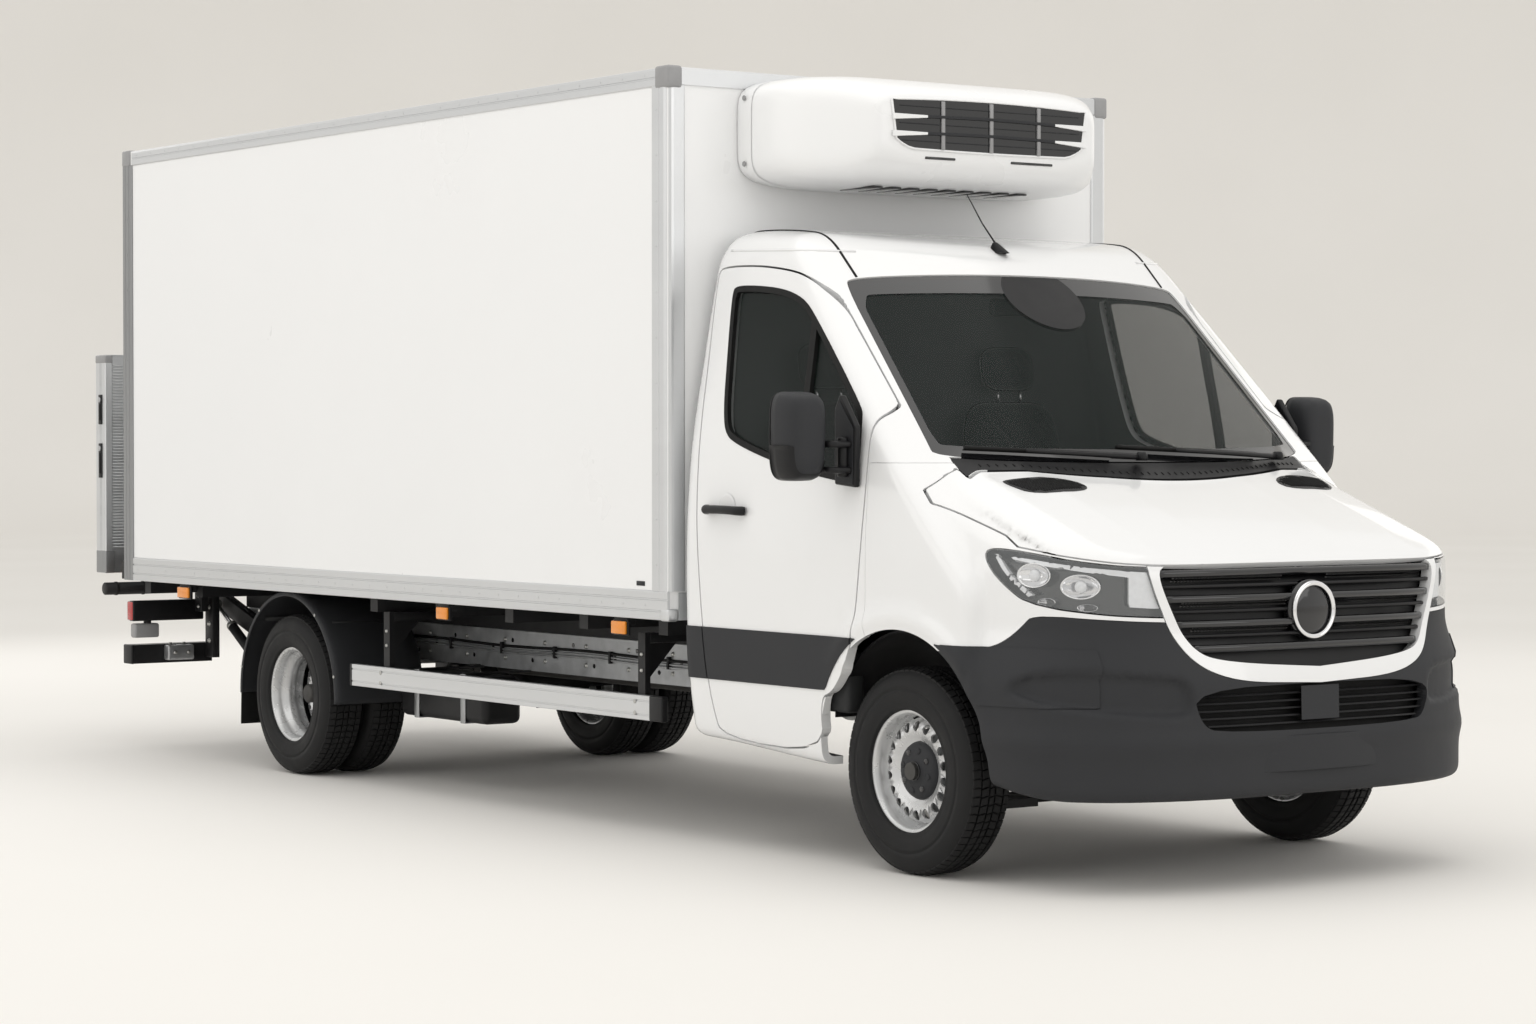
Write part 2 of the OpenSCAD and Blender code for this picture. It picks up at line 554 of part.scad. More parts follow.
chassis_rails();
chassis_crossmembers();
body_subframe();
front_subframe();
engine_block();
propeller_shaft();
rear_axle();
leaf_springs();
fuel_tank();
exhaust();
cab_body();
cab_floor();
wheel_liners();
fenders();
hood();
cowl();
windscreen();
grille();
headlights();
front_bumper();
door_left();
door_right();
door_glass_left();
door_glass_right();
mirror_left();
mirror_right();
dashboard();
seats();
steering_wheel();
knuckle_left();
knuckle_right();
tie_rods();
front_wheel_left();
front_wheel_right();
front_tyre_left();
front_tyre_right();
rear_wheels_left();
rear_wheels_right();
rear_tyres_left();
rear_tyres_right();
cargo_floor();
cargo_roof();
cargo_sides();
cargo_front_wall();
cargo_rear_frame();
cargo_trim();
shutter_bar();
shutter_curtain();
refrigeration_unit();
evaporator();
side_guards();
mudguards();
tail_lamps();
underrun_bar();
lift_frame();
lift_arms();
lift_barrels();
lift_rods();
lift_head();
lift_platform();
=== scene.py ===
import bpy, bmesh, math
import numpy as np
from mathutils import Vector, Matrix


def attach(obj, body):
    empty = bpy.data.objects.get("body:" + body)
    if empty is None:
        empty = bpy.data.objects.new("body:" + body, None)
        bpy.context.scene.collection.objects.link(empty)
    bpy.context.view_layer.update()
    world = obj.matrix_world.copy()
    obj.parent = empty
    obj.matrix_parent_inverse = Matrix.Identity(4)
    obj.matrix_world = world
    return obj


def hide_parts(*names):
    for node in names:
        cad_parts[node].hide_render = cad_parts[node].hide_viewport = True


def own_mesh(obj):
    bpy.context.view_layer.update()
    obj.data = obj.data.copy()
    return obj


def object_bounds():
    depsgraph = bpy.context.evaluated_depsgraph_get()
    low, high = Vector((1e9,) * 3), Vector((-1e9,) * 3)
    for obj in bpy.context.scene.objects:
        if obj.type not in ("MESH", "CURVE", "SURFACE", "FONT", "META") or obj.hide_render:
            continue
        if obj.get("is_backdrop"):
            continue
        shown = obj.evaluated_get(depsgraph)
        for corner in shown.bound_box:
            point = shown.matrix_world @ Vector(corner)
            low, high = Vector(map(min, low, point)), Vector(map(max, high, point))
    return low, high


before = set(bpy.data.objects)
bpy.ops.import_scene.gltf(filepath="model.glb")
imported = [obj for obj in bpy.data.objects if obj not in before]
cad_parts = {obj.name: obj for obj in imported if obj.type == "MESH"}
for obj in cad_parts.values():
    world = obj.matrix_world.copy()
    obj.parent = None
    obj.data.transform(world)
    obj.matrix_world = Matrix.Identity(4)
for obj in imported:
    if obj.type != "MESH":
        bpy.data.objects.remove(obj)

CAD_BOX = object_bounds()
YM = 2.630            # the part's middle, measured from the front axle
np.seterr(all="ignore")
rng = np.random.default_rng(7)

# ---------------------------------------------------------------- materials
def _nt(name):
    m = bpy.data.materials.new(name)
    m.use_nodes = True
    nt = m.node_tree
    b = nt.nodes["Principled BSDF"]
    return m, nt, b

def noise(nt, scale, detail=4.0, rough=0.5, stretch=None):
    tc = nt.nodes.new("ShaderNodeTexCoord")
    mp = nt.nodes.new("ShaderNodeMapping")
    if stretch:
        mp.inputs["Scale"].default_value = stretch
    nt.links.new(tc.outputs["Object"], mp.inputs["Vector"])
    n = nt.nodes.new("ShaderNodeTexNoise")
    n.inputs["Scale"].default_value = scale
    n.inputs["Detail"].default_value = detail
    n.inputs["Roughness"].default_value = rough
    nt.links.new(mp.outputs["Vector"], n.inputs["Vector"])
    return n

def ramp(nt, src, stops):
    r = nt.nodes.new("ShaderNodeValToRGB")
    el = r.color_ramp.elements
    while len(el) < len(stops):
        el.new(0.5)
    for e, (p, c) in zip(el, stops):
        e.position = p
        e.color = (*c, 1.0) if len(c) == 3 else c
    nt.links.new(src, r.inputs["Fac"])
    return r

def bump(nt, b, src, strength, dist=0.001):
    k = nt.nodes.new("ShaderNodeBump")
    k.inputs["Strength"].default_value = strength
    k.inputs["Distance"].default_value = dist
    nt.links.new(src, k.inputs["Height"])
    nt.links.new(k.outputs["Normal"], b.inputs["Normal"])
    return k

def mat(name, col, rough=0.5, metal=0.0, coat=0.0, coat_rough=0.05, vary=0.06, scale=3.0, bscale=300.0, bstr=0.15,
        bdist=0.0005, spec=0.5, stretch=None, rvary=0.08, bstretch=None):
    m, nt, b = _nt(name)
    b.inputs["Metallic"].default_value = metal
    b.inputs["Coat Weight"].default_value = coat
    b.inputs["Coat Roughness"].default_value = coat_rough
    b.inputs["Specular IOR Level"].default_value = spec
    n = noise(nt, scale, 5.0, 0.6, stretch)
    lo = tuple(max(0.0, c * (1 - vary)) for c in col)
    hi = tuple(min(1.0, c * (1 + vary)) for c in col)
    r = ramp(nt, n.outputs["Fac"], [(0.3, lo), (0.7, hi)])
    nt.links.new(r.outputs["Color"], b.inputs["Base Color"])
    rr = ramp(nt, n.outputs["Fac"], [(0.25, (max(0.02, rough - rvary),) * 3), (0.75, (min(1.0, rough + rvary),) * 3)])
    nt.links.new(rr.outputs["Color"], b.inputs["Roughness"])
    if bstr:
        n2 = noise(nt, bscale, 3.0, 0.6, bstretch)
        bump(nt, b, n2.outputs["Fac"], bstr, bdist)
    return m

M = {}
M["paint"] = mat("paint_white", (0.83, 0.835, 0.84), 0.22, coat=0.7, coat_rough=0.04, vary=0.008, scale=1.2, bscale=420, bstr=0.03, rvary=0.03)
M["panel"] = mat("panel_white", (0.86, 0.865, 0.87), 0.30, coat=0.25, coat_rough=0.12, vary=0.008, scale=1.0, bscale=260, bstr=0.05, rvary=0.05)
M["alu"] = mat("alu_anodised", (0.66, 0.67, 0.68), 0.34, metal=0.85, vary=0.03, scale=6, bscale=900, bstr=0.06, stretch=(1, 0.05, 1), rvary=0.06)
M["alu_worn"] = mat("alu_brushed", (0.58, 0.59, 0.60), 0.36, metal=0.9, vary=0.10, scale=4, bscale=500, bstr=0.25, stretch=(0.3, 1, 3), rvary=0.10)
M["galv"] = mat("galvanised", (0.47, 0.48, 0.49), 0.42, metal=0.8, vary=0.13, scale=16, bscale=220, bstr=0.15, rvary=0.12)
M["chassis"] = mat("chassis_black", (0.013, 0.013, 0.014), 0.50, spec=0.32, vary=0.25, scale=9, bscale=140, bstr=0.25, rvary=0.12)
M["cast"] = mat("cast_metal", (0.075, 0.073, 0.07), 0.55, metal=0.6, vary=0.25, scale=20, bscale=350, bstr=0.5, rvary=0.12)
M["plastic"] = mat("plastic_grey", (0.026, 0.027, 0.030), 0.56, spec=0.28, vary=0.06, scale=5, bscale=900, bstr=0.55, bdist=0.0006, rvary=0.05)
M["black"] = mat("plastic_black", (0.008, 0.008, 0.009), 0.42, spec=0.30, vary=0.15, scale=7, bscale=500, bstr=0.2, rvary=0.08)
M["gloss"] = mat("gloss_black", (0.008, 0.008, 0.009), 0.10, coat=0.5, vary=0.1, scale=5, bscale=300, bstr=0.02, rvary=0.03)
M["rubber"] = mat("seal_rubber", (0.007, 0.007, 0.007), 0.62, spec=0.25, vary=0.2, scale=20, bscale=400, bstr=0.3)
M["interior"] = mat("interior_plastic", (0.026, 0.027, 0.028), 0.62, spec=0.3, vary=0.10, scale=6, bscale=700, bstr=0.6)
M["trim"] = mat("interior_trim", (0.10, 0.10, 0.105), 0.62, vary=0.08, scale=6, bscale=600, bstr=0.5)
M["wheel"] = mat("wheel_silver", (0.60, 0.605, 0.61), 0.28, metal=0.55, coat=0.35, vary=0.03, scale=8, bscale=400, bstr=0.05, rvary=0.05)
M["chrome"] = mat("chrome", (0.82, 0.82, 0.83), 0.08, metal=1.0, vary=0.02, scale=8, bscale=300, bstr=0.02, rvary=0.03)
M["bolt"] = mat("zinc_bolt", (0.52, 0.52, 0.50), 0.35, metal=0.9, vary=0.12, scale=40, bscale=600, bstr=0.2)
M["amber"] = mat("amber_lens", (0.80, 0.26, 0.015), 0.12, coat=0.5, vary=0.06, scale=60, bscale=260, bstr=0.35)
M["red"] = mat("red_lens", (0.42, 0.012, 0.012), 0.12, coat=0.5, vary=0.08, scale=60, bscale=260, bstr=0.35)
M["clearlens"] = mat("clear_lens_part", (0.72, 0.73, 0.75), 0.10, coat=0.6, vary=0.05, scale=60, bscale=220, bstr=0.35)
M["insul"] = mat("insulated_liner", (0.80, 0.81, 0.80), 0.38, vary=0.02, scale=3, bscale=220, bstr=0.25)
M["floor_grip"] = mat("floor_grip", (0.22, 0.22, 0.23), 0.62, vary=0.12, scale=30, bscale=160, bstr=0.8, bdist=0.002)

def fabric():
    m, nt, b = _nt("seat_fabric")
    b.inputs["Roughness"].default_value = 0.85
    b.inputs["Sheen Weight"].default_value = 0.25
    tc = nt.nodes.new("ShaderNodeTexCoord")
    w1 = nt.nodes.new("ShaderNodeTexWave"); w2 = nt.nodes.new("ShaderNodeTexWave")
    for w, d in ((w1, "X"), (w2, "Z")):
        w.bands_direction = d
        w.inputs["Scale"].default_value = 90
        w.inputs["Distortion"].default_value = 0.6
        nt.links.new(tc.outputs["Object"], w.inputs["Vector"])
    mx = nt.nodes.new("ShaderNodeMath"); mx.operation = "MULTIPLY"
    nt.links.new(w1.outputs["Fac"], mx.inputs[0]); nt.links.new(w2.outputs["Fac"], mx.inputs[1])
    r = ramp(nt, mx.outputs[0], [(0.0, (0.016, 0.016, 0.018)), (1.0, (0.055, 0.056, 0.060))])
    nt.links.new(r.outputs["Color"], b.inputs["Base Color"])
    bump(nt, b, mx.outputs[0], 0.6, 0.0015)
    return m
M["fabric"] = fabric()

def tyre_mat():
    m, nt, b = _nt("tyre_rubber")
    b.inputs["Specular IOR Level"].default_value = 0.28
    n = noise(nt, 14, 6, 0.6)
    r = ramp(nt, n.outputs["Fac"], [(0.3, (0.007, 0.007, 0.0073)), (0.7, (0.014, 0.014, 0.0147))])
    nt.links.new(r.outputs["Color"], b.inputs["Base Color"])
    rr = ramp(nt, n.outputs["Fac"], [(0.3, (0.55,) * 3), (0.7, (0.75,) * 3)])
    nt.links.new(rr.outputs["Color"], b.inputs["Roughness"])
    n2 = noise(nt, 420, 2, 0.5)
    bump(nt, b, n2.outputs["Fac"], 0.35, 0.0006)
    return m
M["tyre"] = tyre_mat()

def glass_mat(name, tint, alpha, rough=0.02):
    m, nt, b = _nt(name)
    n = noise(nt, 2.0, 3, 0.5)
    r = ramp(nt, n.outputs["Fac"], [(0.3, tuple(c * 0.94 for c in tint)), (0.7, tint)])
    nt.links.new(r.outputs["Color"], b.inputs["Base Color"])
    b.inputs["Roughness"].default_value = rough if "cover" in name else 0.13
    b.inputs["Alpha"].default_value = alpha
    b.inputs["Specular IOR Level"].default_value = 0.45 if "cover" in name else 0.24
    return m
M["glass"] = glass_mat("glass_tinted", (0.010, 0.017, 0.015), 0.30)
M["glass_side"] = glass_mat("glass_side_tinted", (0.010, 0.016, 0.014), 0.42)
M["lens"] = glass_mat("lamp_cover", (0.75, 0.78, 0.80), 0.16)

# ---------------------------------------------------------------- mesh building
class B:
    """Collects faces for one piece. Points are in metres, y measured from the front axle."""
    def __init__(s):
        s.V = []; s.F = []; s.I = []; s.S = []; s.n = 0; s.mats = []
    def mi(s, key):
        if key not in s.mats: s.mats.append(key)
        return s.mats.index(key)
    def add(s, V, F, key, smooth=True):
        V = np.asarray(V, float).reshape(-1, 3)
        i = s.mi(key)
        s.V.append(V)
        s.F += [tuple(int(a) + s.n for a in f) for f in F]
        s.I += [i] * len(F); s.S += [smooth] * len(F)
        s.n += len(V)
        return s
    def mirror(s):
        """Adds the mirror image across x = 0."""
        V = np.concatenate(s.V); W = V * [-1, 1, 1]; n0 = s.n
        F = list(s.F); I = list(s.I); S = list(s.S)
        s.V.append(W); s.F += [tuple(a + n0 for a in reversed(f)) for f in F]
        s.I += I; s.S += S; s.n += len(W)
        return s
    def obj(s, name, body, rep=(), slot=None, sub=0, flip=False, bev=0.0):
        V = np.concatenate(s.V); V = V - [0, YM, 0]
        me = bpy.data.meshes.new(name)
        F = [tuple(reversed(f)) for f in s.F] if flip else s.F
        me.from_pydata(V.tolist(), [], F)
        me.polygons.foreach_set("material_index", s.I)
        me.polygons.foreach_set("use_smooth", s.S)
        for k in s.mats: me.materials.append(M[k])
        me.update()
        o = bpy.data.objects.new(name, me)
        bpy.context.scene.collection.objects.link(o)
        if bev:
            md = o.modifiers.new("bev", "BEVEL"); md.width = bev; md.segments = 2; md.limit_method = "ANGLE"; md.angle_limit = math.radians(40)
            md.harden_normals = False
        if sub:
            md = o.modifiers.new("sub", "SUBSURF"); md.levels = sub; md.render_levels = sub
        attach(o, body)
        if rep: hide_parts(*rep)
        return o

def rbox(a, b, r=0.004, seg=2):
    """Box with rounded edges."""
    a = np.array(a, float); b = np.array(b, float)
    r = min(r, 0.49 * float(np.min(np.abs(b - a))))
    key = []
    bm = bmesh.new()
    bmesh.ops.create_cube(bm, size=1.0)
    c = (a + b) / 2; s_ = np.abs(b - a)
    for v in bm.verts:
        v.co = Vector((c[0] + v.co.x * s_[0], c[1] + v.co.y * s_[1], c[2] + v.co.z * s_[2]))
    if r > 0:
        bmesh.ops.bevel(bm, geom=list(bm.edges), offset=r, segments=seg, profile=0.5, affect="EDGES")
    bm.verts.index_update()
    V = [tuple(v.co) for v in bm.verts]; F = [tuple(v.index for v in f.verts) for f in bm.faces]
    bm.free()
    return V, F

def prism(pts, plane, t0, t1, r=0.0, seg=2, holes=()):
    """Extruded outline. plane 'yz' extrudes along x, 'xz' along y, 'xy' along z."""
    from mathutils.geometry import delaunay_2d_cdt
    def to3(p, t):
        return (t, p[0], p[1]) if plane == "yz" else ((p[0], t, p[1]) if plane == "xz" else (p[0], p[1], t))
    bm = bmesh.new()
    loops = [list(pts)] + [list(h) for h in holes]
    vs = []
    for lp in loops:
        vs.append([bm.verts.new(to3(p, t0)) for p in lp])
    if not holes:
        f = bm.faces.new(vs[0])
        faces = [f]
    else:
        P = []; E = []; k = 0
        for lp in loops:
            n = len(lp)
            P += [Vector(p) for p in lp]
            E += [(k + i, k + (i + 1) % n) for i in range(n)]
            k += n
        v2, e2, f2, *_ = delaunay_2d_cdt(P, E, [], 1, 1e-6)
        allv = [v for l in vs for v in l]
        faces = []
        for f in f2:
            c = sum((Vector(v2[i]) for i in f), Vector((0, 0))) / len(f)
            if not any(inpoly(c, h) for h in holes) and inpoly(c, pts):
                try: faces.append(bm.faces.new([allv[i] for i in f]))
                except ValueError: pass
    ex = bmesh.ops.extrude_face_region(bm, geom=faces)
    d = Vector(to3((0, 0), t1)) - Vector(to3((0, 0), t0))
    for g in ex["geom"]:
        if isinstance(g, bmesh.types.BMVert): g.co += d
    bmesh.ops.recalc_face_normals(bm, faces=bm.faces)
    if r > 0:
        ed = [e for e in bm.edges if len(e.link_faces) == 2 and e.calc_face_angle(0) > math.radians(38)]
        bmesh.ops.bevel(bm, geom=ed, offset=r, segments=seg, profile=0.5, affect="EDGES", clamp_overlap=True)
    bm.verts.index_update()
    V = [tuple(v.co) for v in bm.verts]; F = [tuple(v.index for v in f.verts) for f in bm.faces]
    bm.free()
    return V, F

def inpoly(p, poly):
    x, y = p[0], p[1]; c = False; n = len(poly); j = n - 1
    for i in range(n):
        xi, yi = poly[i]; xj, yj = poly[j]
        if (yi > y) != (yj > y) and x < (xj - xi) * (y - yi) / (yj - yi) + xi: c = not c
        j = i
    return c

def lathe(prof, c=(0, 0, 0), axis="x", n=64, sgn=1.0, a0=0.0, a1=2 * math.pi):
    """Turned surface. prof is [(radius, position along the axis)], closed loops are made by repeating the first point."""
    full = abs(a1 - a0 - 2 * math.pi) < 1e-6
    m = n if full else n + 1
    ang = a0 + (a1 - a0) * np.arange(m) / n
    V = []
    for (r, t) in prof:
        for a in ang:
            u, v = r * math.cos(a), r * math.sin(a)
            if axis == "x": V.append((c[0] + sgn * t, c[1] + u, c[2] + v))
            elif axis == "y": V.append((c[0] + u, c[1] + sgn * t, c[2] + v))
            else: V.append((c[0] + u, c[1] + v, c[2] + sgn * t))
    F = []
    for i in range(len(prof) - 1):
        for j in range(n):
            k = (j + 1) % m
            F.append((i * m + j, i * m + k, (i + 1) * m + k, (i + 1) * m + j))
    return V, F

def disc(c, r, axis="x", n=24, h=0.004, sgn=1.0, ch=0.2):
    """Short rounded plug with closed end."""
    return lathe([(0.0001, h), (r * (1 - ch), h), (r, h * (1 - 0.5 * ch)), (r, 0), (0.0001, 0)], c, axis, n, sgn)

def tube(path, r, n=12, close=False, caps=True):
    P = np.array(path, float); m = len(P)
    T = np.gradient(P, axis=0); T /= np.linalg.norm(T, axis=1)[:, None]
    if close:
        T = np.roll(P, -1, 0) - np.roll(P, 1, 0); T /= np.linalg.norm(T, axis=1)[:, None]
    up = np.array([0, 0, 1.0]) if abs(T[0][2]) < 0.9 else np.array([1.0, 0, 0])
    V = []; N = np.cross(T[0], up); N /= np.linalg.norm(N)
    for i in range(m):
        N = N - T[i] * np.dot(N, T[i]); N /= np.linalg.norm(N)
        Bn = np.cross(T[i], N)
        rr = r[i] if hasattr(r, "__len__") else r
        for a in np.arange(n) * 2 * math.pi / n:
            V.append(P[i] + rr * (math.cos(a) * N + math.sin(a) * Bn))
    F = []
    for i in range(m if close else m - 1):
        for j in range(n):
            k = (j + 1) % n; i2 = (i + 1) % m
            F.append((i * n + j, i * n + k, i2 * n + k, i2 * n + j))
    if caps and not close:
        F.append(tuple(range(n - 1, -1, -1))); F.append(tuple((m - 1) * n + j for j in range(n)))
    return np.array(V), F

def smooth_path(pts, n=8, closed=False):
    """Catmull-Rom curve through the points."""
    P = np.array(pts, float); m = len(P); out = []
    rngs = range(m) if closed else range(m - 1)
    for i in rngs:
        if closed: p0, p1, p2, p3 = P[(i - 1) % m], P[i], P[(i + 1) % m], P[(i + 2) % m]
        else: p0, p1, p2, p3 = P[max(i - 1, 0)], P[i], P[i + 1], P[min(i + 2, m - 1)]
        for t in np.arange(n) / n:
            out.append(0.5 * ((2 * p1) + (-p0 + p2) * t + (2 * p0 - 5 * p1 + 4 * p2 - p3) * t * t + (-p0 + 3 * p1 - 3 * p2 + p3) * t ** 3))
    if not closed: out.append(P[-1])
    return np.array(out)

def hexbolt(c, axis="x", r=0.011, h=0.008, sgn=1.0):
    V, F = lathe([(0.0001, h), (r * 0.8, h), (r, h * 0.7), (r, 0.0), (r * 1.35, 0.0), (r * 1.35, -0.001)], c, axis, 6, sgn)
    return V, F

def rot(V, ang, axis, c):
    """Turns points about an axis through c. ang in degrees."""
    R = np.array(Matrix.Rotation(math.radians(ang), 3, axis))
    V = np.asarray(V, float); c = np.asarray(c, float)
    return (V - c) @ R.T + c
# ---------------------------------------------------------------- the cab's smooth outer surface
def closed_smooth(p, keep=()):
    """Rounded polygon: corner cutting on every point that is not in keep."""
    P = [np.array(q, float) for q in p]
    K = [i in keep for i in range(len(P))]
    for _ in range(2):
        Q = []; KK = []
        n = len(P)
        for i in range(n):
            if K[i]: Q.append(P[i]); KK.append(True); continue
            a, b, c = P[i - 1], P[i], P[(i + 1) % n]
            Q.append(b + (a - b) * 0.25); Q.append(b + (c - b) * 0.25); KK += [False, False]
        P, K = Q, KK
    return np.array(P)

def sdf_poly(P, X, Y):
    """Signed distance (negative inside) of points to a polygon."""
    sh = X.shape; x = X.ravel(); y = Y.ravel()
    d2 = np.full(x.shape, 1e9); ins = np.zeros(x.shape, bool)
    n = len(P)
    for i in range(n):
        ax, ay = P[i - 1]; bx_, by_ = P[i]
        ex, ey = bx_ - ax, by_ - ay
        L = ex * ex + ey * ey
        if L < 1e-14: continue
        t = np.clip(((x - ax) * ex + (y - ay) * ey) / L, 0, 1)
        dx = x - ax - t * ex; dy = y - ay - t * ey
        d2 = np.minimum(d2, dx * dx + dy * dy)
        c = (ay > y) != (by_ > y)
        xi = ex * (y - ay) / (ey if abs(ey) > 1e-12 else 1e-12) + ax
        ins ^= c & (x < xi)
    d = np.sqrt(d2)
    return np.where(ins, -d, d).reshape(sh)

class Grid2:
    """Signed distance of an outline on a grid, looked up by interpolation."""
    def __init__(s, P, x0, x1, y0, y1, h=0.005):
        s.h = h; s.x0 = x0; s.y0 = y0
        s.nx = int((x1 - x0) / h) + 2; s.ny = int((y1 - y0) / h) + 2
        X, Y = np.meshgrid(x0 + h * np.arange(s.nx), y0 + h * np.arange(s.ny), indexing="ij")
        s.G = sdf_poly(P, X, Y)
    def __call__(s, x, y):
        u = np.clip((x - s.x0) / s.h, 0, s.nx - 1.001); v = np.clip((y - s.y0) / s.h, 0, s.ny - 1.001)
        i = u.astype(int); j = v.astype(int); u = u - i; v = v - j
        G = s.G
        return (G[i, j] * (1 - u) + G[i + 1, j] * u) * (1 - v) + (G[i, j + 1] * (1 - u) + G[i + 1, j + 1] * u) * v

def smax(a, b, k):
    h = np.clip(0.5 + 0.5 * (a - b) / k, 0, 1)
    return b * (1 - h) + a * h + k * h * (1 - h)
def smin(a, b, k): return -smax(-a, -b, k)
def sstep(a, b, x):
    t = np.clip((x - a) / (b - a), 0, 1)
    return t * t * (3 - 2 * t)

mm = lambda p: [(a / 1000.0, b / 1000.0) for a, b in p]
nose_side = mm([(-1010, 250), (-1010, 640), (-985, 760), (-962, 880), (-935, 990), (-895, 1056), (-800, 1116), (-700, 1168), (-560, 1230),
    (-400, 1290), (-280, 1336), (-160, 1372), (-100, 1386), (146, 1470), (300, 1500), (300, 250)])
roof_side = mm([(-400, 250), (-400, 1500), (330, 2030), (400, 2064), (500, 2104), (620, 2150), (740, 2180), (850, 2200),
    (1000, 2218), (1120, 2226), (1190, 2222), (1222, 2200), (1235, 2150), (1235, 700), (1222, 480), (1196, 250)])
cab_half = mm([(955, 250), (970, 330), (986, 420), (1002, 600), (1010, 800), (1011, 950), (1010, 1100), (1005, 1216),
    (992, 1400), (968, 1560), (935, 1730), (905, 1900), (885, 2000), (868, 2090), (842, 2140), (792, 2196), (720, 2228), (600, 2243), (300, 2252)])
crown_half = mm([(1013, -1600), (1013, -700), (1002, -480), (988, -330), (963, -210), (922, -135), (850, -68), (750, -20), (580, 10), (300, 20), (0, 20)])
cab_plan = mm([(0, -962), (200, -957), (400, -938), (560, -908), (690, -862), (780, -800), (850, -715), (905, -600),
    (945, -450), (975, -280), (998, -100), (1012, 100), (1014, 600), (1014, 1200), (1000, 1285)])
bump_plan = mm([(0, -1000), (250, -994), (450, -975), (620, -935), (760, -872), (860, -790), (930, -690),
    (972, -580), (996, -460), (1008, -320), (1012, -200), (1012, 400)])
door_out = mm([(1020, 388), (1060, 500), (1084, 620), (1104, 800), (1132, 1050), (1146, 1216), (1152, 1400),
    (1172, 1730), (1188, 1950), (1194, 2050), (1176, 2078), (965, 2076), (770, 2054), (660, 2030), (575, 1980),
    (440, 1862), (310, 1742), (205, 1648), (152, 1566), (148, 1507), (152, 1269), (172, 1050), (200, 846),
    (215, 770), (262, 680), (340, 590), (408, 575), (408, 378)])
win_out = mm([(930, 1440), (1000, 1475), (1030, 1560), (1058, 1750), (1076, 1900), (1084, 1985), (1072, 2006),
    (946, 2004), (770, 1986), (650, 1950), (580, 1903), (400, 1735), (240, 1580), (200, 1530), (192, 1300), (500, 1338), (745, 1390)])
hood_low = mm([(-1100, 1040), (-880, 1052), (-510, 1108), (-440, 1143), (-327, 1180), (-140, 1242), (-92, 1290)])
lamp_out = mm([(-1100, 868), (-600, 918), (-486, 990), (-404, 1074), (-404, 1104), (-520, 1098), (-880, 1043), (-1100, 1031)])
bump_side = mm([(-1100, 200), (-240, 200), (-240, 762), (-440, 780), (-500, 802), (-560, 852), (-606, 900), (-1100, 851)])
surround_half = mm([(655, 1046), (640, 985), (620, 930), (580, 830), (520, 745), (430, 700), (300, 676), (100, 668)])
grille_half = mm([(0, 1062), (420, 1063), (560, 1058), (606, 1046), (619, 1026), (612, 985), (576, 900), (540, 825), (498, 775), (440, 752), (300, 735), (100, 722), (0, 716)])
def sym(h): return h + [(-a, b) for a, b in reversed(h)]
surround = sym([(0.0, 1.30), (0.640, 1.30)] + surround_half + [(0.0, 0.664)])
grille_poly = sym(grille_half)
G_nose = Grid2(closed_smooth(nose_side, keep=(0, 13, 14, 15)), -1.15, 0.40, 0.15, 1.60)
G_roof = Grid2(closed_smooth(roof_side, keep=(0, 1, 15)), -0.6, 1.35, 0.15, 2.35)
G_cab = Grid2(closed_smooth(sym(cab_half), keep=(0, len(cab_half) * 2 - 1)), -1.12, 1.12, 0.15, 2.35)
G_plan = Grid2(closed_smooth(sym(cab_plan[1:-1] + [(1.014, 1.4)]), keep=()), -1.12, 1.12, -1.1, 1.35)
G_bump = Grid2(closed_smooth(sym(bump_plan[1:]), keep=(10, 11)), -1.12, 1.12, -1.1, 0.5)
ws_lo = np.array([-0.200, 1.375]); ws_hi = np.array([0.490, 2.045])
ws_d = (ws_hi - ws_lo) / np.linalg.norm(ws_hi - ws_lo); ws_n = np.array([-ws_d[1], ws_d[0]])     # points out and forward
hood_k = (1.386 - 1.116) / 0.700
cx_x = np.array([p[0] for p in crown_half][::-1]); cx_z = np.array([p[1] for p in crown_half][::-1])
def ws_dist(x, y, z): return (y - ws_lo[0]) * ws_n[0] + (z - ws_lo[1]) * ws_n[1] + 0.152 * x * x
recess = closed_smooth(mm([(520, 600), (560, 560), (900, 590), (985, 640), (960, 700), (880, 722), (640, 705), (540, 690)]))
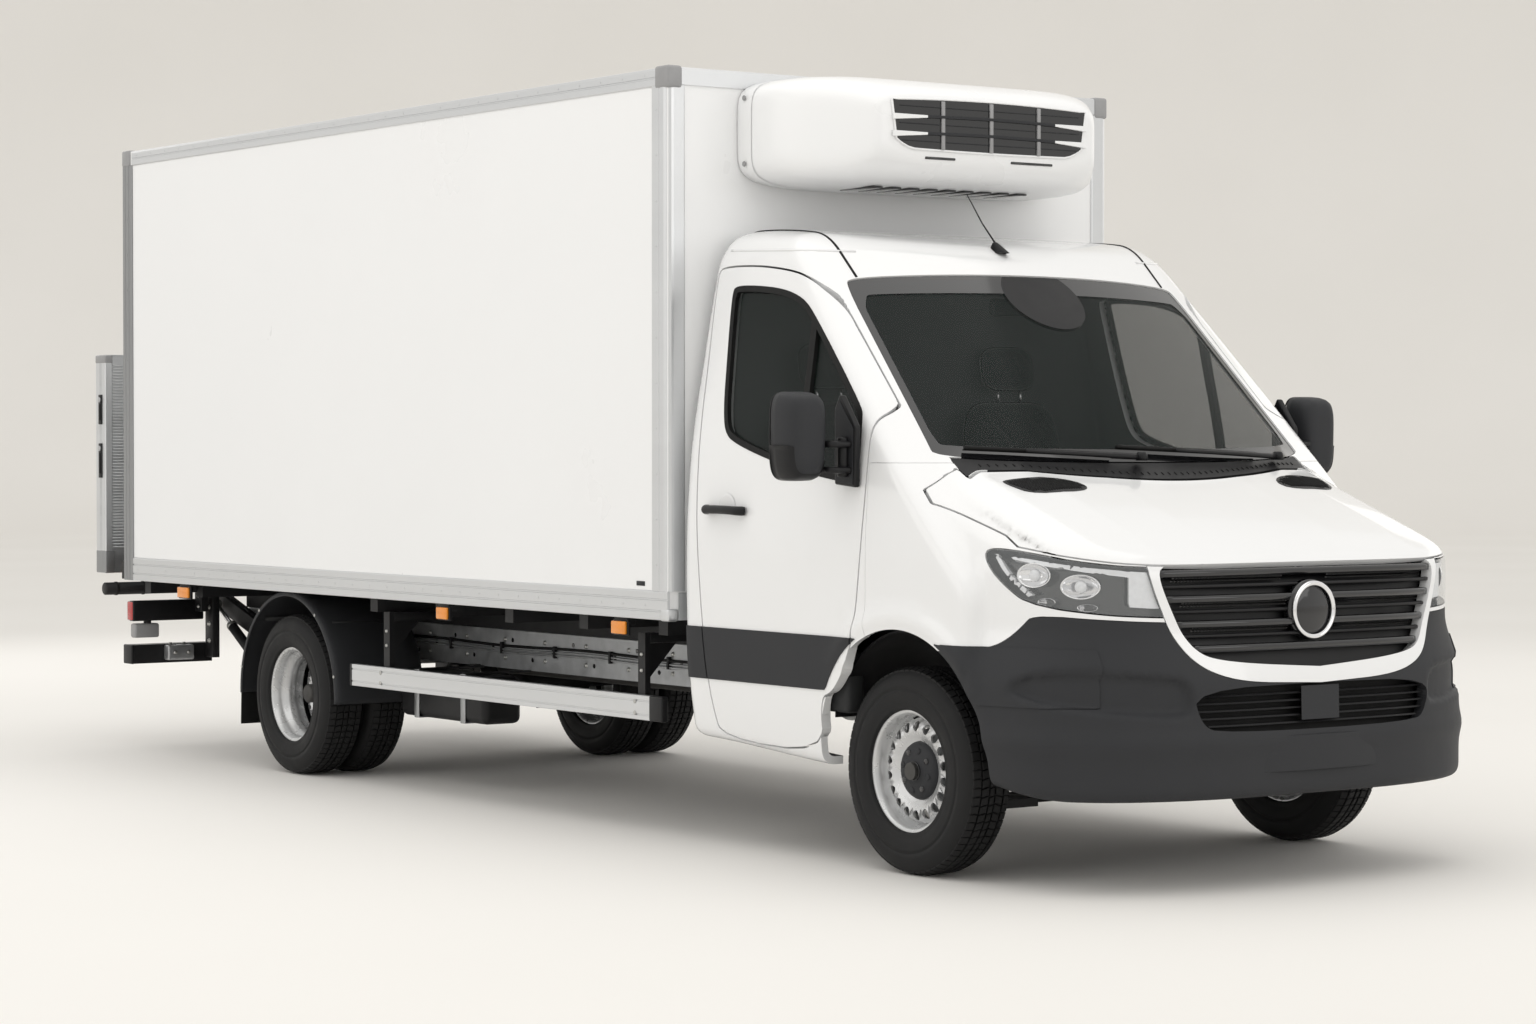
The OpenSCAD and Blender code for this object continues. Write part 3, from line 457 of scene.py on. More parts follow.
def cab_f(x, y, z):
    ax = np.abs(x)
    up = smax(G_roof(y, z), G_cab(x, z), 0.055)
    up = smax(up, ws_dist(x, y, z), 0.045)
    # nose: crowned hood, plan outline of the body above and of the bumper below
    sh = 1.116 + (y + 0.8) * hood_k
    top = (z - sh - np.interp(ax, cx_x, cx_z)) * 0.80
    dep = np.clip(z - sh, -1.5, 0.0)
    s_ = 1 - 0.92 * sstep(-0.42, 0.10, y)
    side = (ax - 1.013 + s_ * (1.013 - np.interp(dep, cx_z[::-1], cx_x[::-1]))) * 0.9
    w = 1 - sstep(0.655, 0.86, z)
    pl = G_plan(x, y) * (1 - w) + G_bump(x, y) * w
    no = smax(pl, G_nose(y, z), 0.05)
    no = smax(no, G_cab(x, z), 0.02)
    no = smax(no, np.where(dep < -0.09, side, -1.0), 0.03)
    no = smax(no, top, 0.05)
    no = smax(no, y - 0.25, 0.01)
    f = smin(up, no, 0.045)
    # rounded under edge of the bumper and the sill
    zb = 0.300 + 0.045 * sstep(-0.75, -0.35, y) - 0.012 * sstep(-0.2, 0.3, y) + 0.055 * sstep(0.2, 1.3, y)
    f = smax(f, zb - z, 0.045)
    # raised lip round the wheel opening
    r = np.hypot(y + 0.025, z - 0.375)
    lip = np.exp(-((r - 0.492) / 0.034) ** 2) * sstep(0.80, 0.92, ax) * sstep(0.40, 0.58, z) * (1 - sstep(0.18, 0.40, y)) * sstep(-0.52, -0.40, y)
    f = f - 0.014 * lip
    # bumper: dished corners and a step below them
    if True:
        front = 1 - sstep(-0.62, -0.50, y)
        g = sdf_grid(ax, z)
        f = f + 0.024 * sstep(0.004, -0.022, g) * front
        f = f - 0.010 * np.exp(-((z - 0.485) / 0.040) ** 2) * (1 - sstep(-0.45, -0.25, y))
    return f
_R = Grid2(recess, 0.3, 1.15, 0.4, 0.9)
def sdf_grid(ax, z): return np.where((ax < 0.32) | (z < 0.42) | (z > 0.88), 0.2, _R(np.clip(ax, 0.3, 1.15), np.clip(z, 0.4, 0.9)))

def build_skin(h=0.0165):
    lo = np.array([-1.07, -1.06, 0.24]); hi = np.array([1.07, 1.28, 2.30])
    n = ((hi - lo) / h).astype(int) + 2
    n[0] += n[0] % 2
    xs = (np.arange(n[0]) - (n[0] - 1) / 2) * h; ys = lo[1] + h * np.arange(n[1]); zs = lo[2] + h * np.arange(n[2])
    X, Y, Z = np.meshgrid(xs, ys, zs, indexing="ij")
    f = cab_f(X, Y, Z)
    ins = f < 0
    cell = np.zeros(tuple(n - 1), bool)
    s = ins[:-1, :-1, :-1].astype(np.int8)
    tot = np.zeros(tuple(n - 1), np.int8)
    for a in (0, 1):
        for b_ in (0, 1):
            for c in (0, 1):
                tot += ins[a:n[0] - 1 + a, b_:n[1] - 1 + b_, c:n[2] - 1 + c]
    cell = (tot > 0) & (tot < 8)
    idx = -np.ones(cell.shape, int); idx[cell] = np.arange(cell.sum())
    I, J, K = np.nonzero(cell)
    V = np.stack([xs[I] + h / 2, ys[J] + h / 2, zs[K] + h / 2], 1)
    Q = []
    def quads(e, a, b_, c, d, flip):
        ok = (a >= 0) & (b_ >= 0) & (c >= 0) & (d >= 0)
        q = np.stack([a, b_, c, d], 1)[ok]; fl = flip[ok]
        q[fl] = q[fl][:, ::-1]
        Q.append(q)
    # edges along x
    e = ins[:-1, 1:-1, 1:-1] != ins[1:, 1:-1, 1:-1]; i, j, k = np.nonzero(e); j += 1; k += 1
    quads(e, idx[i, j - 1, k - 1], idx[i, j, k - 1], idx[i, j, k], idx[i, j - 1, k], ~ins[i, j, k])
    e = ins[1:-1, :-1, 1:-1] != ins[1:-1, 1:, 1:-1]; i, j, k = np.nonzero(e); i += 1; k += 1
    quads(e, idx[i - 1, j, k - 1], idx[i - 1, j, k], idx[i, j, k], idx[i, j, k - 1], ~ins[i, j, k])
    e = ins[1:-1, 1:-1, :-1] != ins[1:-1, 1:-1, 1:]; i, j, k = np.nonzero(e); i += 1; j += 1
    quads(e, idx[i - 1, j - 1, k], idx[i, j - 1, k], idx[i, j, k], idx[i - 1, j, k], ~ins[i, j, k])
    Q = np.concatenate(Q)
    for it in range(6):
        if it < 3:
            acc = np.zeros_like(V); cnt = np.zeros(len(V))
            for a, b_ in ((0, 1), (1, 2), (2, 3), (3, 0)):
                np.add.at(acc, Q[:, a], V[Q[:, b_]]); np.add.at(cnt, Q[:, a], 1)
                np.add.at(acc, Q[:, b_], V[Q[:, a]]); np.add.at(cnt, Q[:, b_], 1)
            V = V * 0.4 + 0.6 * acc / np.maximum(cnt, 1)[:, None]
        for _ in range(2):
            g, fv = grad(V)
            V = V - g * np.clip(fv, -h, h)[:, None] / np.maximum((g * g).sum(1), 0.2)[:, None]
    return V, Q

def grad(V, e=0.003):
    x, y, z = V.T
    fv = cab_f(x, y, z)
    g = np.stack([cab_f(x + e, y, z) - cab_f(x - e, y, z), cab_f(x, y + e, z) - cab_f(x, y - e, z), cab_f(x, y, z + e) - cab_f(x, y, z - e)], 1) / (2 * e)
    return g, fv
def normals(V):
    g, _ = grad(V, 0.006)
    return g / np.maximum(np.linalg.norm(g, axis=1), 1e-9)[:, None]

def clip(V, T, g):
    """Keeps the part of the triangles where the value g at the points is below zero."""
    s = g < 0; c = s[T].sum(1)
    keep = T[c == 3]
    new = []; VV = [V]; n = len(V); cache = {}
    tv = T[(c == 1) | (c == 2)]
    # cut edges
    E = np.concatenate([tv[:, [0, 1]], tv[:, [1, 2]], tv[:, [2, 0]]]); m = s[E[:, 0]] != s[E[:, 1]]
    E = np.unique(np.sort(E[m], 1), axis=0)
    t = g[E[:, 0]] / (g[E[:, 0]] - g[E[:, 1]])
    P = V[E[:, 0]] + (V[E[:, 1]] - V[E[:, 0]]) * t[:, None]
    cache = {(int(a), int(b)): n + i for i, (a, b) in enumerate(E)}
    def cut(a, b): return cache[(a, b) if a < b else (b, a)]
    for tri in tv.tolist():
        st = [bool(s[k]) for k in tri]
        if sum(st) == 1:
            i = st.index(True); a, b, c_ = tri[i], tri[(i + 1) % 3], tri[(i + 2) % 3]
            new.append((a, cut(a, b), cut(a, c_)))
        else:
            i = st.index(False); a, b, c_ = tri[i], tri[(i + 1) % 3], tri[(i + 2) % 3]
            p, q = cut(a, b), cut(a, c_)
            new.append((p, b, c_)); new.append((p, c_, q))
    V2 = np.concatenate([V, P]) if len(P) else V
    T2 = np.concatenate([keep, np.array(new, int).reshape(-1, 3)])
    used, inv = np.unique(T2, return_inverse=True)
    return V2[used], inv.reshape(-1, 3)

def drop_small(V, T, amin=1e-9):
    a = np.linalg.norm(np.cross(V[T[:, 1]] - V[T[:, 0]], V[T[:, 2]] - V[T[:, 0]]), axis=1)
    return V, T[a > amin]

def boundary(T):
    E = np.concatenate([T[:, [0, 1]], T[:, [1, 2]], T[:, [2, 0]]])
    key = np.sort(E, 1); _, inv, cnt = np.unique(key, axis=0, return_inverse=True, return_counts=True)
    return E[cnt[inv.ravel()] == 1]

def weld(V, T, eps=0.0006):
    """Joins points that the cut left almost on top of each other."""
    k = np.round(V / eps).astype(np.int64)
    _, first, inv = np.unique(k, axis=0, return_index=True, return_inverse=True)
    T = inv.ravel()[T]; V = V[first]
    ok = (T[:, 0] != T[:, 1]) & (T[:, 1] != T[:, 2]) & (T[:, 0] != T[:, 2])
    return V, T[ok]

def sheet(b, V, T, key, off=0.0, rim=0.0, inner=None, rim_key=None, edge=0.0025):
    """Adds a piece of skin moved out by off, with a rounded edge folded in by rim, and an inner face when a key is given."""
    if not len(T): return
    V, T = weld(V, T)
    N = normals(V)
    O = V + N * off
    b.add(O, T, key)
    if rim:
        E = boundary(T)
        u, inv = np.unique(E, return_inverse=True); inv = inv.reshape(-1, 2)
        n = len(u)
        # the edge turns in over a small radius
        a0 = O[u]; a1 = O[u] - N[u] * edge; a2 = O[u] - N[u] * rim
        F = []
        for i, j in inv: F += [(j, i, n + i, n + j), (n + j, n + i, 2 * n + i, 2 * n + j)]
        b.add(np.concatenate([a0, a1, a2]), F, rim_key or key, smooth=False)
    if inner:
        b.add(O - N * rim, T[:, ::-1], inner)

SK_V, SK_Q = build_skin()
SK_T = np.concatenate([SK_Q[:, [0, 1, 2]], SK_Q[:, [0, 2, 3]]])

def region(*gs, V=None, T=None):
    """Skin where every field in gs is below zero. A field is a function of x, y, z."""
    if V is None: V, T = SK_V, SK_T
    for g in gs:
        V, T = clip(V, T, g(V[:, 0], V[:, 1], V[:, 2]))
        if not len(T): break
    return V, T

class PolyField:
    """Outline as a field on two of the coordinates, moved in by d."""
    def __init__(s, P, ax, d=0.0, soft=True, inv=False, absx=False):
        s.P = closed_smooth(P) if soft else np.array(P); s.ax = ax; s.d = d; s.inv = inv; s.absx = absx
    def __call__(s, x, y, z):
        c = {"x": np.abs(x) if s.absx else x, "y": y, "z": z}
        v = sdf_poly(s.P, c[s.ax[0]], c[s.ax[1]]) + s.d
        return -v if s.inv else v

left = lambda x, y, z: -x
right = lambda x, y, z: x
def neg(f): return lambda x, y, z: -f(x, y, z)
def either(f, g): return lambda x, y, z: np.minimum(f(x, y, z), g(x, y, z))
def both_(f, g): return lambda x, y, z: np.maximum(f(x, y, z), g(x, y, z))
GAP = 0.0035
# fields
door_keep = closed_smooth(door_out, keep=())
def pil(z): return 0.868 - (z - 1.300) * (0.068 / 0.76)
f_door = lambda x, y, z: np.maximum(sdf_poly(door_keep, y, z), np.where((y < 0.70), pil(z) + 0.004 - np.abs(x), 0.70 - np.abs(x)))
f_win = lambda x, y, z: np.maximum(sdf_poly(WIN, y, z), 0.60 - np.abs(x))
WIN = closed_smooth(win_out)
WSP = closed_smooth(mm([(-846, 1398), (-500, 1383), (0, 1378), (500, 1383), (846, 1398), (838, 1440), (800, 1760), (772, 1996), (740, 2022), (400, 2040), (0, 2046), (-400, 2040), (-740, 2022), (-772, 1996), (-800, 1760), (-838, 1440)]))
f_ws = lambda x, y, z: np.maximum(sdf_poly(WSP, x, z), y - 0.72)
f_fwd = lambda x, y, z: y + 0.092                     # ahead of the hood's rear corner
hl = np.array(hood_low)
def hood_line(y): return np.interp(y, hl[:, 0], hl[:, 1])
f_hood = lambda x, y, z: np.maximum.reduce([hood_line(y) - z, y + 0.092, -(-0.066 - ws_dist(x, y, z)) * 1.0])
f_arch = lambda x, y, z: np.hypot(y + 0.025, z - 0.375) - 0.450
LAMP = closed_smooth(lamp_out, keep=(0, 7))
f_lamp = lambda x, y, z: np.maximum(sdf_poly(LAMP, y, z), 0.50 - np.abs(x))
SUR = closed_smooth(surround, keep=(0, 1, len(surround) - 2, len(surround) - 1))
f_sur = lambda x, y, z: np.maximum(sdf_poly(SUR, x, z), y + 0.62)
GRI = closed_smooth(grille_poly)
f_gri = lambda x, y, z: np.maximum(sdf_poly(GRI, x, z), y + 0.62)
BUM = closed_smooth(bump_side, keep=(0, 1, 2, 7))
f_bum = lambda x, y, z: sdf_poly(BUM, y, z)
LOWI = closed_smooth(mm([(-535, 658), (-508, 548), (-440, 516), (440, 516), (508, 548), (535, 658), (0, 666)]))
f_low = lambda x, y, z: np.maximum(sdf_poly(LOWI, x, z), y + 0.80)
# ---------------------------------------------------------------- cab panels
f_hood = lambda x, y, z: np.maximum.reduce([hood_line(y) - z, y + 0.092, np.minimum(0.026 - ws_dist(x, y, z), 0.80 - np.abs(x))])
f_hoodside = lambda x, y, z: np.maximum(hood_line(y) - z, y + 0.092)
f_fend = lambda x, y, z: np.maximum.reduce([y - 0.1405, z - 1.376, np.where(y > -0.092, 0.80, 0.60) - np.abs(x), np.where(y < -0.092, z - hood_line(y), -1.0)])
f_cowl = lambda x, y, z: np.maximum.reduce([ws_dist(x, y, z) - 0.023, np.abs(x) - 0.80, y - 0.03, z - 1.395])
def strip_z(x, y, z): return np.maximum.reduce([z - 0.786, 0.600 - z, 0.462 - np.hypot(y + 0.025, z - 0.375), y - 1.2345, 0.8 - np.abs(x)])

def front_y(x, z, lo=-1.10, hi=-0.45):
    x = np.asarray(x, float); z = np.asarray(z, float) + 0 * x
    a = np.full(x.shape, lo); b_ = np.full(x.shape, hi)
    for _ in range(40):
        m = (a + b_) / 2; o = cab_f(x, m, z) > 0
        a = np.where(o, m, a); b_ = np.where(o, b_, m)
    return (a + b_) / 2
def side_x(y, z, lo=0.45, hi=1.15):
    y = np.asarray(y, float); z = np.asarray(z, float) + 0 * y
    a = np.full(y.shape, lo); b_ = np.full(y.shape, hi)
    for _ in range(40):
        m = (a + b_) / 2; o = cab_f(m, y, z) < 0
        a = np.where(o, m, a); b_ = np.where(o, b_, m)
    return (a + b_) / 2
def top_z(x, y, lo=0.9, hi=2.4):
    x = np.asarray(x, float); y = np.asarray(y, float) + 0 * x
    a = np.full(x.shape, lo); b_ = np.full(x.shape, hi)
    for _ in range(40):
        m = (a + b_) / 2; o = cab_f(x, y, m) < 0
        a = np.where(o, m, a); b_ = np.where(o, b_, m)
    return (a + b_) / 2

g_ = lambda f, d=0.0: (lambda x, y, z: f(x, y, z) + d)           # inside, moved in by d
o_ = lambda f, d=0.0: (lambda x, y, z: -f(x, y, z) + d)          # outside, moved out by d
strut = lambda x, y, z: z - 10
# hood
V, T = region(g_(f_hood, GAP))
b = B(); sheet(b, V, T, "paint", rim=0.022, inner="black")
VENT = {}
vent_p = mm([(432, -372), (470, -262), (722, -226), (734, -254), (690, -366)])
VP = closed_smooth([(a, c) for a, c in vent_p])
for s in (1, -1):
    fv = lambda x, y, z, s=s: np.maximum(sdf_poly(VP, s * x, y), 1.1 - z)
    v, t = region(fv, V=V, T=T)
    sheet(b, v, t, "black", off=0.0022, rim=0.003)
    # woven ribs on the vent
    for i in range(30):
        x0 = 0.436 + i * 0.0105
        for dirn in (1, -1):
            P = []
            for k in range(10):
                yy = -0.370 + k * 0.0155
                xx = x0 + dirn * (k - 4.5) * 0.008
                if sdf_poly(VP, np.array([xx]), np.array([yy]))[0] < -0.006: P.append((xx, yy))
            if len(P) > 2:
                P = np.array(P); zz = top_z(P[:, 0], P[:, 1])
                b.add(*tube(np.stack([s * P[:, 0], P[:, 1], zz + 0.0030], 1), 0.0013, 4), "rubber")
b.obj("hood_panel", "hood_panel", ("hood",), "paint_white")
# fenders
b = B()
V, T = region(g_(f_fend, 0.0), lambda x, y, z: np.where(y > 0, 0.350 - z, -1.0), o_(f_arch), o_(f_bum, GAP * 0.6), o_(f_lamp, 0.003), o_(f_sur, 0.003), o_(f_hood, GAP * 0.4))
V, T = region(o_(strip_z, 0.001), V=V, T=T)
sheet(b, V, T, "paint", rim=0.020, inner="black")
V, T = region(g_(f_fend, 0.0), g_(strip_z, 0.0), o_(f_arch, 0.004), o_(f_door, GAP))
sheet(b, V, T, "plastic", off=0.004, rim=0.014)
b.obj("fender_panels", "chassis", ("fenders",), "paint_white")
# cab shell: roof, pillars, quarter panels, sill and rear wall
f_foot = lambda x, y, z: np.maximum(y - 0.165, z - 0.350)
hard = [o_(f_foot), o_(f_door, GAP), o_(f_ws, 0.0), o_(f_hood, GAP * 0.4), o_(f_fend, 0.0015), o_(f_cowl, 0.001), o_(f_arch), o_(f_bum, 0.0015), o_(f_lamp, 0.003),
        o_(f_sur, 0.003), lambda x, y, z: -0.145 - y, lambda x, y, z: 0.30 - z + np.where(np.abs(x) < 0.89, 0.36, 0)]
V, T = region(*hard)
Vb, Tb = region(o_(strip_z, 0.0), V=V, T=T)
b = B(); sheet(b, Vb, Tb, "paint", rim=0.028, inner="trim")
Vb, Tb = region(g_(strip_z, 0.0), V=V, T=T)
sheet(b, Vb, Tb, "plastic", off=0.0045, rim=0.02)
# raised channel along each side of the roof, and the drip edge above each door
for s in (1, -1):
    yy = np.linspace(0.66, 1.16, 24); P = []
    zt = 2.118 + 0.02 * np.linspace(0, 1, 24)
    P = np.stack([s * side_x(yy, zt), yy, zt], 1); P[:, 0] += s * 0.0006
    b.add(*tube(P, 0.0045, 8), "paint")
    yy = np.linspace(0.58, 1.19, 40); xx = 0.715 + 0 * yy
    zt = top_z(xx, yy)
    b.add(*tube(np.stack([s * xx, yy, zt - 0.001], 1), 0.005, 8), "rubber")
b.obj("cab_shell", "chassis", ("cab_body",), "paint_white")
# cowl with its drain slots
b = B()
V, T = region(g_(f_cowl, 0.0), o_(f_hood, GAP), o_(f_ws, 0.002), lambda x, y, z: 1.02 - z)
sheet(b, V, T, "black", off=-0.004, rim=0.02)
ys_ = np.linspace(-0.36, -0.02, 120)
for x0 in np.linspace(-0.72, 0.72, 49):
    zs_ = top_z(np.full(120, x0), ys_); wd = np.array([float(ws_dist(np.array([x0]), np.array([y_]), np.array([z_]))[0]) for y_, z_ in zip(ys_, zs_)])
    k_ = int(np.argmin(np.abs(wd - 0.013)))
    P = np.array([[x0, ys_[k_] - 0.006 + q * 0.006, 0] for q in range(3)])
    P[:, 2] = top_z(P[:, 0], P[:, 1]) - 0.0045
    b.add(*tube(P, 0.0026, 6), "rubber")
b.obj("scuttle_panel", "chassis", ("cowl",), "plastic_black")
# doors
for s, nm in ((1, "left"), (-1, "right")):
    side = left if s > 0 else right
    V, T = region(g_(f_door, GAP), o_(f_win, 0.0), lambda x, y, z: side(x, y, z) + 0.5)
    V0, T0 = V, T
    Vp, Tp = region(lambda x, y, z: -strip_z(x, y, z), V=V, T=T)
    b = B(); sheet(b, Vp, Tp, "paint", rim=0.040, inner="trim", rim_key="paint")
    Vs, Ts = region(strip_z, V=V, T=T)
    sheet(b, Vs, Ts, "plastic", off=0.0045, rim=0.044, inner="trim")
    # armrest and door pocket on the inside
    b.add(*rbox((s * 0.86, 0.36, 0.98), (s * 0.955, 1.00, 1.05), 0.02, 3), "trim")
    b.add(*rbox((s * 0.87, 0.32, 0.52), (s * 0.95, 1.00, 0.70), 0.02, 3), "interior")
    # handle: dished cup and bar
    hy, hz = 0.955, 1.206
    hx = float(side_x(np.array([hy]), np.array([hz]))[0])
    b.add(*lathe([(0.0001, 0.0), (0.026, 0.0002), (0.040, 0.0012), (0.0475, 0.0016), (0.050, 0.0006)], (s * hx, hy, 1.214), "x", 40, s), "paint")
    P = smooth_path([(s * (hx + 0.004), 0.842, 1.203), (s * (hx + 0.026), 0.858, 1.204), (s * (hx + 0.034), 0.90, 1.206), (s * (hx + 0.035), hy, 1.207),
                     (s * (hx + 0.033), 1.01, 1.207), (s * (hx + 0.026), 1.050, 1.206), (s * (hx + 0.004), 1.066, 1.206)], 6)
    rr = np.interp(np.linspace(0, 1, len(P)), [0, 0.08, 0.3, 0.7, 0.92, 1], [0.015, 0.017, 0.0155, 0.0155, 0.018, 0.016])
    Vt, Ft = tube(P, rr, 14); b.add(Vt, Ft, "black")
    b.add(*disc((s * (hx + 0.030), 1.046, 1.207), 0.0075, "x", 20, 0.009, s), "chrome")
    b.obj("door_%s_panel" % nm, "%s_door" % nm, ("door_%s" % nm,), "paint_white")
    # glass, its seal and the bar before the quarter light
    V, T = region(g_(f_win, 0.0), lambda x, y, z: side(x, y, z) + 0.5)
    b = B()
    Vg, Tg = region(g_(f_win, 0.010), V=V, T=T)
    sheet(b, Vg, Tg, "glass_side", off=-0.012, rim=0.004, inner="glass_side")
    b.obj("door_%s_window" % nm, "%s_door" % nm, ("door_glass_%s" % nm,), "glass")
    b = B()
    Vr, Tr = region(o_(f_win, -0.022), V=V, T=T)
    sheet(b, Vr, Tr, "rubber", off=0.0015, rim=0.016)
    bar = lambda x, y, z: np.abs(y - (0.530 + 0.06 * (z - 1.35))) - 0.017
    Vr, Tr = region(bar, V=V, T=T)
    sheet(b, Vr, Tr, "rubber", off=0.0005, rim=0.02)
    b.obj("door_%s_seals" % nm, "%s_door" % nm, (), "plastic_black")
# windscreen with its dark border
b = B()
V, T = region(g_(f_ws, 0.003))
sheet(b, V, T, "glass", off=-0.006, rim=0.005, inner="glass")
b.obj("windscreen_pane", "chassis", ("windscreen",), "glass")
b = B()
band = lambda x, y, z: -(sdf_poly(WSP, x, z) + 0.030 + 0.050 * sstep(1.90, 2.02, z) + 0.022 * (1 - sstep(1.38, 1.50, z)))
Vr, Tr = region(band, V=V, T=T)
sheet(b, Vr, Tr, "gloss", off=-0.0048, rim=0.008)
sens = lambda x, y, z: np.maximum(np.abs(x) - 0.14 + 0.5 * (1.99 - z) * 0, 1.865 - z)
Vr, Tr = region(lambda x, y, z: np.maximum(np.hypot(x / 0.17, (z - 1.965) / 0.115) - 1.0, y - 0.7), V=V, T=T)
sheet(b, Vr, Tr, "black", off=-0.0046, rim=0.012)
b.obj("windscreen_border", "chassis", (), "plastic_black")
# wiper arms and blades
b = B()
for (px, tipx, tz) in ((0.62, -0.16, 1.405), (-0.10, -0.74, 1.402)):
    base = np.array([px, 0.0, 0.0]); yb = -0.215 + 0.17 * px * px
    base[1] = yb; base[2] = 1.375
    xs_ = np.linspace(px, tipx, 14)
    def on_ws(x, z, off):
        y = ws_lo[0] + (z - ws_lo[1]) * ws_d[0] / ws_d[1] - 0.152 * x * x / ws_n[0] * 1.0
        return np.stack([x + 0 * z, y + ws_n[0] * off, z + ws_n[1] * off], 1)
    z_ = np.linspace(1.372, tz, 14)
    P = on_ws(xs_, z_, 0.032)
    b.add(*tube(P[:10], np.linspace(0.010, 0.006, 10), 8), "black")
    xb = np.linspace(px - 0.10 * np.sign(px - tipx), tipx, 24)
    zb = np.linspace(1.392, tz + 0.014, 24)
    Pb = on_ws(xb, zb, 0.016)
    b.add(*tube(Pb, 0.0075, 8), "rubber")
    Pc = on_ws(xb, zb, 0.006); b.add(*tube(Pc, 0.0028, 6), "rubber")
    b.add(*lathe([(0.0001, 0.030), (0.014, 0.029), (0.019, 0.022), (0.021, 0.0), (0.0001, 0.0)], (px, P[0][1], P[0][2] - 0.012), "z", 24), "black")
b.obj("wipers", "chassis", (), "plastic_black")
# roof aerial
b = B()
az0 = float(top_z(np.array([-0.05]), np.array([0.60]))[0])
P = smooth_path([(-0.05, 0.565, az0 - 0.002), (-0.05, 0.600, az0 + 0.020), (-0.05, 0.640, az0 + 0.036), (-0.05, 0.655, az0 + 0.040)], 6)
for k in range(1):
    ring = []
    for t in np.linspace(0, 1, 10):
        w_ = 0.020 * (1 - t) ** 0.6 + 0.005; l_ = 0.046 * (1 - t) + 0.008
        for a in np.arange(20) * math.pi / 10: ring.append((-0.05 + w_ * math.cos(a), 0.605 + 0.022 * t + l_ * math.sin(a), az0 - 0.004 + 0.042 * t))
    F = [(i * 20 + j, i * 20 + (j + 1) % 20, (i + 1) * 20 + (j + 1) % 20, (i + 1) * 20 + j) for i in range(9) for j in range(20)] + [tuple(9 * 20 + j for j in range(20))]
    b.add(ring, F, "black")
b.add(*tube([(-0.05, 0.625, az0 + 0.034), (-0.05, 0.700, az0 + 0.110), (-0.05, 0.790, az0 + 0.222)], [0.0035, 0.0026, 0.0018], 8), "black")
b.obj("roof_aerial", "chassis", (), "plastic_black")
# bumper
b = B()
plate_fld = lambda x, y, z: np.maximum.reduce([np.abs(x) - 0.262, np.abs(z - 0.440) - 0.060, y + 0.8])
V, T = region(g_(f_bum, 0.0), o_(f_arch), o_(f_sur, GAP * 0.6), o_(f_low, 0.0), lambda x, y, z: y + 0.205)
V, T = region(o_(f_lamp, 0.002), V=V, T=T)
sheet(b, V, T, "plastic", rim=0.035, inner="black")
b.obj("bumper_skin", "chassis", ("front_bumper",), "plastic_grey")
# lower intake: slats, centre cover and a dark back
b = B()
for zz, hw_ in ((0.537, 0.470), (0.561, 0.500), (0.585, 0.508), (0.609, 0.514), (0.633, 0.518)):
    xs_ = np.linspace(-hw_, hw_, 37)
    yy = front_y(xs_, zz + 0 * xs_) + 0.030
    P = np.stack([xs_, yy, zz + 0 * xs_], 1)
    R_ = []
    for k, (dy, dz) in enumerate([(-0.014, 0.004), (-0.018, -0.001), (0.020, -0.006), (0.022, 0.002)]): R_.append(P + [0, dy, dz])
    R_ = np.concatenate(R_); n_ = len(xs_)
    F = [(k * n_ + i, k * n_ + i + 1, ((k + 1) % 4) * n_ + i + 1, ((k + 1) % 4) * n_ + i) for k in range(4) for i in range(n_ - 1)]
    b.add(R_, F, "black", smooth=False)
xs_ = np.linspace(-0.085, 0.085, 9); zs_ = np.linspace(0.545, 0.655, 5)
X, Z = np.meshgrid(xs_, zs_, indexing="ij"); Y = front_y(X.ravel(), Z.ravel()).reshape(X.shape) + 0.006
G = np.stack([X, Y, Z], -1).reshape(-1, 3)
F = [(i * 5 + j, (i + 1) * 5 + j, (i + 1) * 5 + j + 1, i * 5 + j + 1) for i in range(8) for j in range(4)]
b.add(G, F, "plastic", smooth=False)
xs_ = np.linspace(-0.555, 0.555, 45); zs_ = np.linspace(0.500, 0.680, 7)
X, Z = np.meshgrid(xs_, zs_, indexing="ij"); Y = front_y(X.ravel(), Z.ravel()).reshape(X.shape) + 0.050
G = np.stack([X, Y, Z], -1).reshape(-1, 3)
F = [(i * 7 + j, (i + 1) * 7 + j, (i + 1) * 7 + j + 1, i * 7 + j + 1) for i in range(44) for j in range(6)]
b.add(G, F, "rubber", smooth=False)
b.obj("lower_intake", "chassis", (), "plastic_black")
# blank plate
b = B()
xs_ = np.linspace(-0.26, 0.26, 21); zs_ = np.linspace(0.3825, 0.4975, 5)
X, Z = np.meshgrid(xs_, zs_, indexing="ij")
Yf = float(front_y(np.array([0.0]), np.array([0.44]))[0])
Y = np.full(X.shape, Yf - 0.014) + 0.020 * (X / 0.26) ** 2
G = np.concatenate([np.stack([X, Y, Z], -1).reshape(-1, 3), np.stack([X, Y + 0.010, Z], -1).reshape(-1, 3)])
m_ = 21 * 5
F = [(i * 5 + j, (i + 1) * 5 + j, (i + 1) * 5 + j + 1, i * 5 + j + 1) for i in range(20) for j in range(4)]
F2 = [tuple(m_ + a for a in reversed(f)) for f in F]
per = [i * 5 for i in range(21)] + [100 + j for j in range(1, 5)] + [i * 5 + 4 for i in range(19, -1, -1)] + [j for j in range(3, 0, -1)]
F3 = [(per[(k + 1) % len(per)], per[k], m_ + per[k], m_ + per[(k + 1) % len(per)]) for k in range(len(per))]
b.add(G, F + F2 + F3, "plastic", smooth=False)
b.obj("front_plate_blank", "chassis", (), "plastic_grey", bev=0.002)
